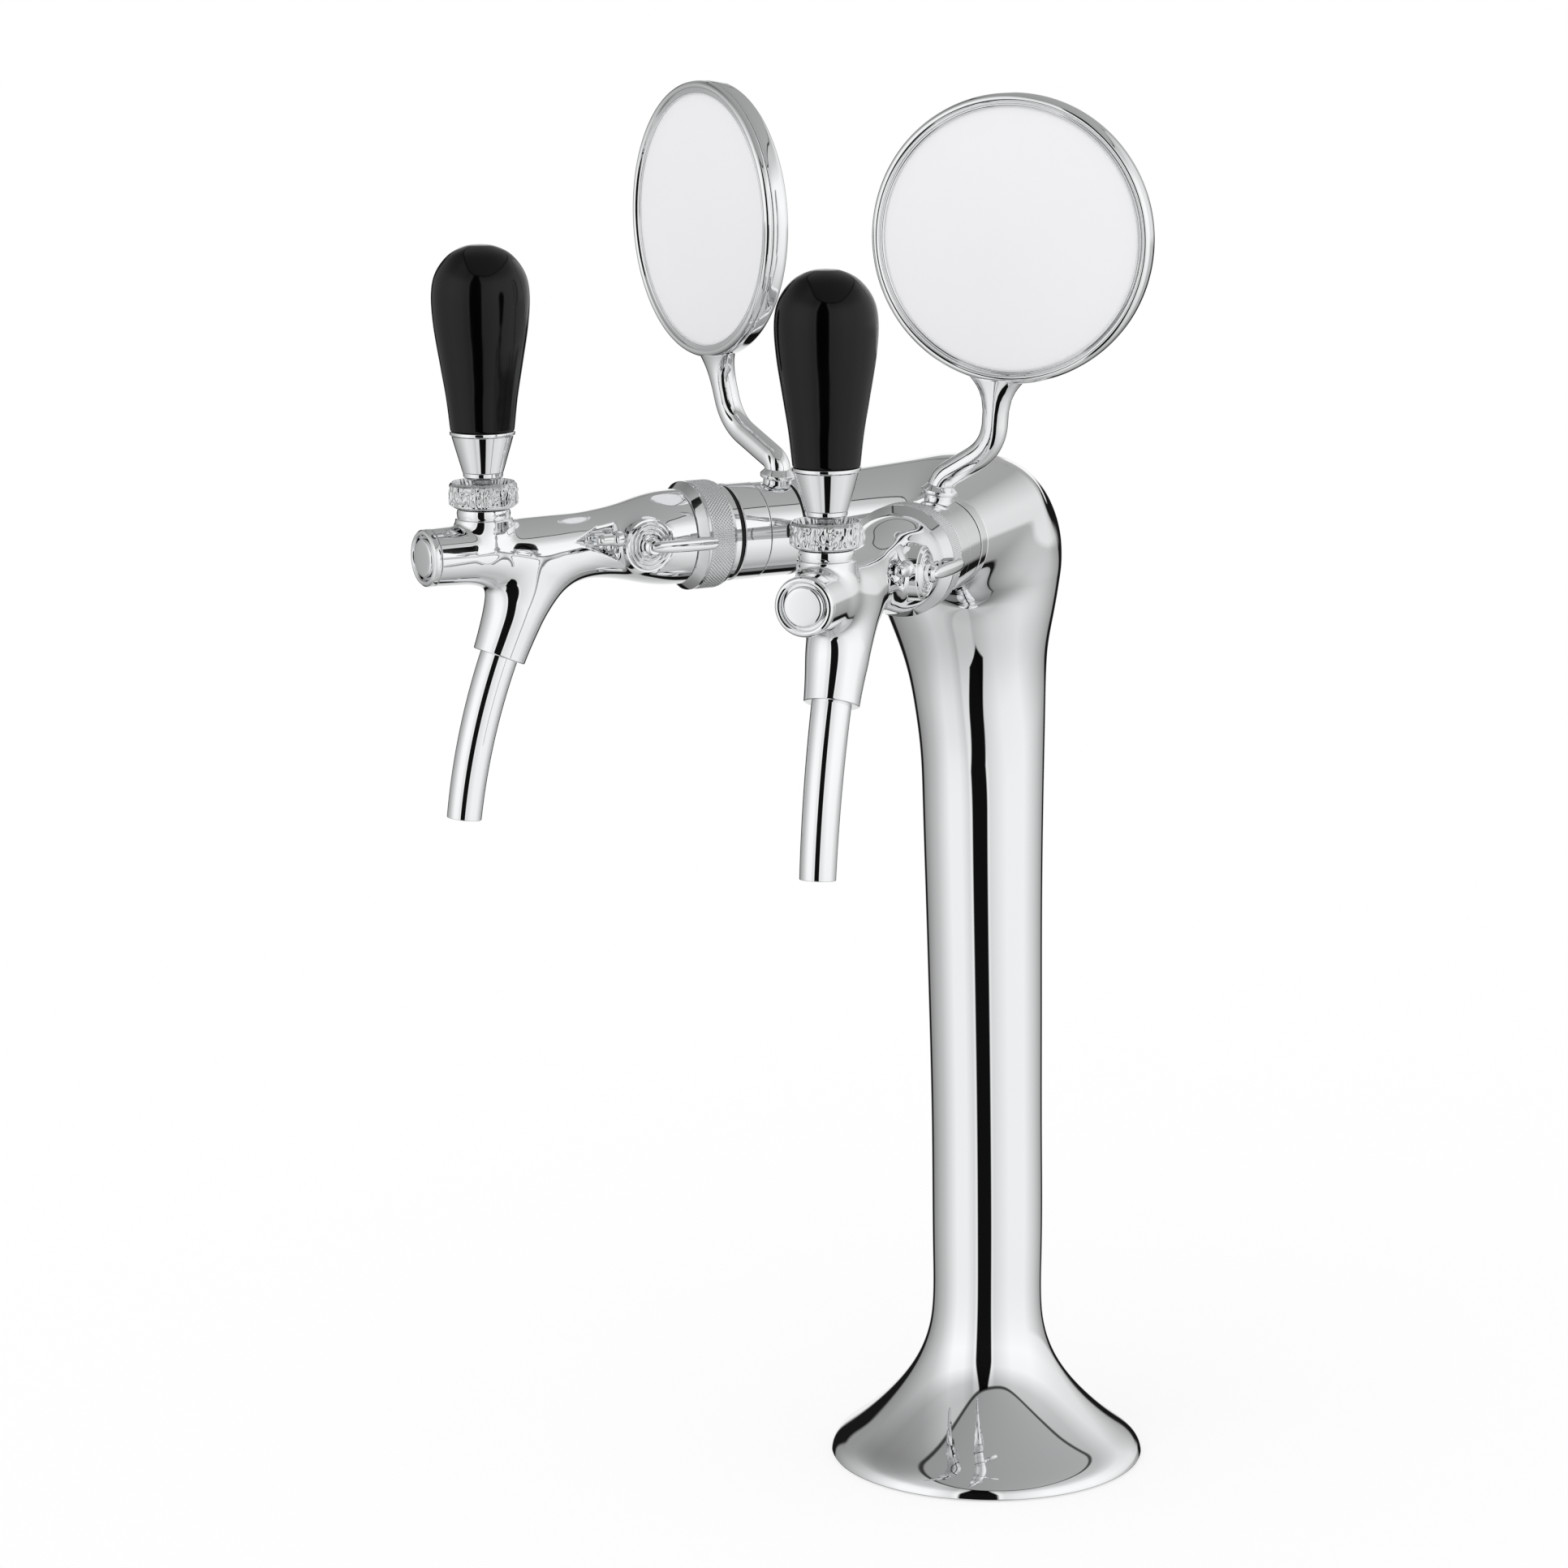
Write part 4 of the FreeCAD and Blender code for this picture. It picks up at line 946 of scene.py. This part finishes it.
def build_studio():
    """White room for the metal to mirror: two tall soft panels either side of a dark slot where the
    lens stands, dark flags behind the tower, a white backdrop and a grey ceiling board. Levels are
    linear, with white as 1. Bearings are degrees from the lens, and heights from the horizon."""
    world = bpy.data.worlds.new("studio")
    bpy.context.scene.world = world
    world.use_nodes = True
    tree = world.node_tree
    tree.nodes.clear()
    output = add_node(tree, "ShaderNodeOutputWorld")
    look = add_node(tree, "ShaderNodeTexCoord").outputs["Generated"]
    lens_side = Vector((camera_place.x, camera_place.y, 0)).normalized()
    right_side = Vector((-lens_side.y, lens_side.x, 0))
    across, toward = [add_node(tree, "ShaderNodeVectorMath", {"operation": "DOT_PRODUCT"},
                               {0: look, 1: side}).outputs["Value"] for side in (right_side, lens_side)]
    bearing = add_node(tree, "ShaderNodeMath", {"operation": "ARCTAN2"}, {0: across, 1: toward}).outputs[0]
    bearing = add_node(tree, "ShaderNodeMath", {"operation": "DEGREES"}, {0: bearing}).outputs[0]
    up = add_node(tree, "ShaderNodeSeparateXYZ", inputs={"Vector": look}).outputs["Z"]
    height = add_node(tree, "ShaderNodeMath", {"operation": "ARCSINE"}, {0: up}).outputs[0]
    height = add_node(tree, "ShaderNodeMath", {"operation": "DEGREES"}, {0: height}).outputs[0]

    # Each panel is brightest in its middle and dimmer by the slot, where it ends in a bright lip.
    bright, inner, lip, panel_end, flag, backdrop = 1.08, 0.85, 1.05, 0.36, 0.01, 1.0
    right_end, wall_left, wall_right = 0.83, 0.33, 0.42
    panels = [(-136, panel_end), (-100, 0.64), (-66, bright), (-42, bright), (-26, inner), (-21, lip),
              (9, lip), (14, inner), (46, bright), (85, bright)]
    left_flag = [(-180, backdrop), (-167, backdrop), (-163, flag), (-148, flag), (-145, 0.30)]
    right_flag = [(169, flag), (172, backdrop), (180, backdrop)]
    below = ramp(tree, bearing, -180, 180, left_flag + panels + [(151, panel_end), (153, flag)] + right_flag)
    level = ramp(tree, bearing, -180, 180,
                 left_flag + panels + [(140, right_end), (151, 0.65), (158, flag)] + right_flag)
    above = ramp(tree, bearing, -180, 180, [(-180, wall_right), (-146, wall_left)] + panels
                 + [(140, right_end), (160, wall_right), (180, wall_right)])
    level_share = ramp(tree, height, -90, 90, [(-6, 0), (-3, 1)])
    room = add_node(tree, "ShaderNodeMix", {"data_type": "RGBA"},
                    {0: level_share, 6: below, 7: level}).outputs[2]
    # The flags are low on the right of the tower and taller on its left.
    lift = add_node(tree, "ShaderNodeMapRange", inputs={
        "Value": bearing, "From Min": 100, "From Max": 110, "To Min": 0, "To Max": 14}).outputs[0]
    lifted = add_node(tree, "ShaderNodeMath", {"operation": "ADD"}, {0: height, 1: lift}).outputs[0]
    above_share = ramp(tree, lifted, -90, 90, [(15, 0), (18, 1)])
    room = add_node(tree, "ShaderNodeMix", {"data_type": "RGBA"},
                    {0: above_share, 6: room, 7: above}).outputs[2]
    # The panels' light falls off towards the floor and the ceiling.
    falloff = ramp(tree, height, -90, 90, [
        (-60, 0.52), (-25, 0.86), (10, 1.0), (26, 0.95), (40, 0.60), (50, 0.53)])

    # The slot leans to one side below the horizon, closes in overhead and ends in a point at the foot.
    slant = add_node(tree, "ShaderNodeMapRange", inputs={
        "Value": height, "From Min": -54, "From Max": -22, "To Min": -15.5, "To Max": 5.5}).outputs[0]
    off_slot = add_node(tree, "ShaderNodeMath", {"operation": "ADD"}, {0: bearing, 1: slant}).outputs[0]
    off_slot = add_node(tree, "ShaderNodeMath", {"operation": "ABSOLUTE"}, {0: off_slot}).outputs[0]
    closing = add_node(tree, "ShaderNodeMapRange", {"interpolation_type": "SMOOTHSTEP"}, {
        "Value": height, "From Min": 20, "From Max": 50, "To Min": 0, "To Max": 7}).outputs[0]
    foot_point = add_node(tree, "ShaderNodeMapRange", inputs={
        "Value": height, "From Min": -49, "From Max": -54, "To Min": 0, "To Max": 16}).outputs[0]
    for narrowing in (closing, foot_point):
        off_slot = add_node(tree, "ShaderNodeMath", {"operation": "ADD"},
                            {0: off_slot, 1: narrowing}).outputs[0]
    slot = ramp(tree, off_slot, 0, 180, [(0, 0.006), (13.5, 0.006), (15.5, 1)])
    for shade in (falloff, slot):
        room = add_node(tree, "ShaderNodeMix", {"data_type": "RGBA", "blend_type": "MULTIPLY"},
                        {0: 1.0, 6: room, 7: shade}).outputs[2]

    # Ceiling board: a rounded rectangle in the plane overhead, with a dark gap round its edge.
    board_centre, board_half = (0.18, -0.5, 0), (0.68, 1.5, 1)
    overhead = add_node(tree, "ShaderNodeMath", {"operation": "MAXIMUM"}, {0: up, 1: 0.001}).outputs[0]
    plane = add_node(tree, "ShaderNodeCombineXYZ", inputs={"X": across, "Y": toward}).outputs[0]
    plane = add_node(tree, "ShaderNodeVectorMath", {"operation": "DIVIDE"},
                     {0: plane, 1: overhead}).outputs[0]
    side_place = add_node(tree, "ShaderNodeSeparateXYZ", inputs={"Vector": plane}).outputs["X"]
    for operation, amount in (("SUBTRACT", board_centre), ("DIVIDE", board_half)):
        plane = add_node(tree, "ShaderNodeVectorMath", {"operation": operation},
                         {0: plane, 1: amount}).outputs[0]
    squared = add_node(tree, "ShaderNodeVectorMath", {"operation": "MULTIPLY"},
                       {0: plane, 1: plane}).outputs[0]
    edge = 0.0
    for vector in (plane, squared):
        corner = add_node(tree, "ShaderNodeVectorMath", {"operation": "DOT_PRODUCT"},
                          {0: vector, 1: vector}).outputs["Value"]
        edge = add_node(tree, "ShaderNodeMath", {"operation": "MULTIPLY_ADD"},
                        {0: corner, 1: 0.5, 2: edge}).outputs[0]
    board = ramp(tree, side_place, -0.5, 0.86, [(-0.5, 0.32), (0.86, 0.44)])
    gap = ramp(tree, edge, 0, 2, [(0.88, 1), (0.95, 0.12), (1.05, 0.12), (1.15, 1)])
    beyond = ramp(tree, edge, 0, 2, [(0.98, 0), (1.02, 1)])
    room = add_node(tree, "ShaderNodeMix", {"data_type": "RGBA"}, {0: beyond, 6: board, 7: room}).outputs[2]
    room = add_node(tree, "ShaderNodeMix", {"data_type": "RGBA", "blend_type": "MULTIPLY"},
                    {0: 1.0, 6: room, 7: gap}).outputs[2]

    mirrored = add_node(tree, "ShaderNodeBackground", inputs={"Color": room, "Strength": 1.0}).outputs[0]
    plain, white = [add_node(tree, "ShaderNodeBackground", inputs={
        "Color": (1, 1, 1, 1), "Strength": strength}).outputs[0] for strength in (0.8, 1.0)]
    rays = add_node(tree, "ShaderNodeLightPath")
    seen = add_node(tree, "ShaderNodeMath", {"operation": "MAXIMUM"}, {
        0: rays.outputs["Is Glossy Ray"], 1: rays.outputs["Is Transmission Ray"]}).outputs[0]
    lit = add_node(tree, "ShaderNodeMixShader", inputs={0: seen, 1: plain, 2: mirrored}).outputs[0]
    shown = add_node(tree, "ShaderNodeMixShader", inputs={
        0: rays.outputs["Is Camera Ray"], 1: lit, 2: white}).outputs[0]
    tree.links.new(shown, output.inputs["Surface"])


def build_floor():
    """Plain white floor. It keeps a light shadow, and the metal mirrors the room instead of it."""
    half = 8.0
    mesh = bpy.data.meshes.new("floor")
    mesh.from_pydata([(-half, -half, 0), (half, -half, 0), (half, half, 0), (-half, half, 0)], [],
                     [(0, 1, 2, 3)])
    floor = bpy.data.objects.new("floor", mesh)
    bpy.context.scene.collection.objects.link(floor)
    floor.visible_glossy = False
    material, tree, output, _ = new_finish("white_paper_floor")
    paper = add_node(tree, "ShaderNodeBsdfDiffuse", inputs={"Color": colour("#FAFAFA")})
    glow = add_node(tree, "ShaderNodeEmission", inputs={"Color": (1, 1, 1, 1), "Strength": 1.03})
    rays = add_node(tree, "ShaderNodeLightPath")
    share = add_node(tree, "ShaderNodeMath", {"operation": "MULTIPLY"},
                     {0: rays.outputs["Is Camera Ray"], 1: 0.6})
    mixed = add_node(tree, "ShaderNodeMixShader",
                     inputs={0: share.outputs[0], 1: paper.outputs[0], 2: glow.outputs[0]})
    tree.links.new(mixed.outputs[0], output.inputs["Surface"])
    mesh.materials.append(material)


def build_lamp():
    """One very soft sun from the upper left of the lens."""
    data = bpy.data.lights.new("soft_sun", "SUN")
    data.energy = 0.8
    data.angle = math.radians(60)
    lamp = bpy.data.objects.new("soft_sun", data)
    bpy.context.scene.collection.objects.link(lamp)
    lamp.rotation_euler = (math.radians(38), 0, math.radians(10))
    lamp.visible_glossy = False


build_studio()
build_floor()
build_lamp()
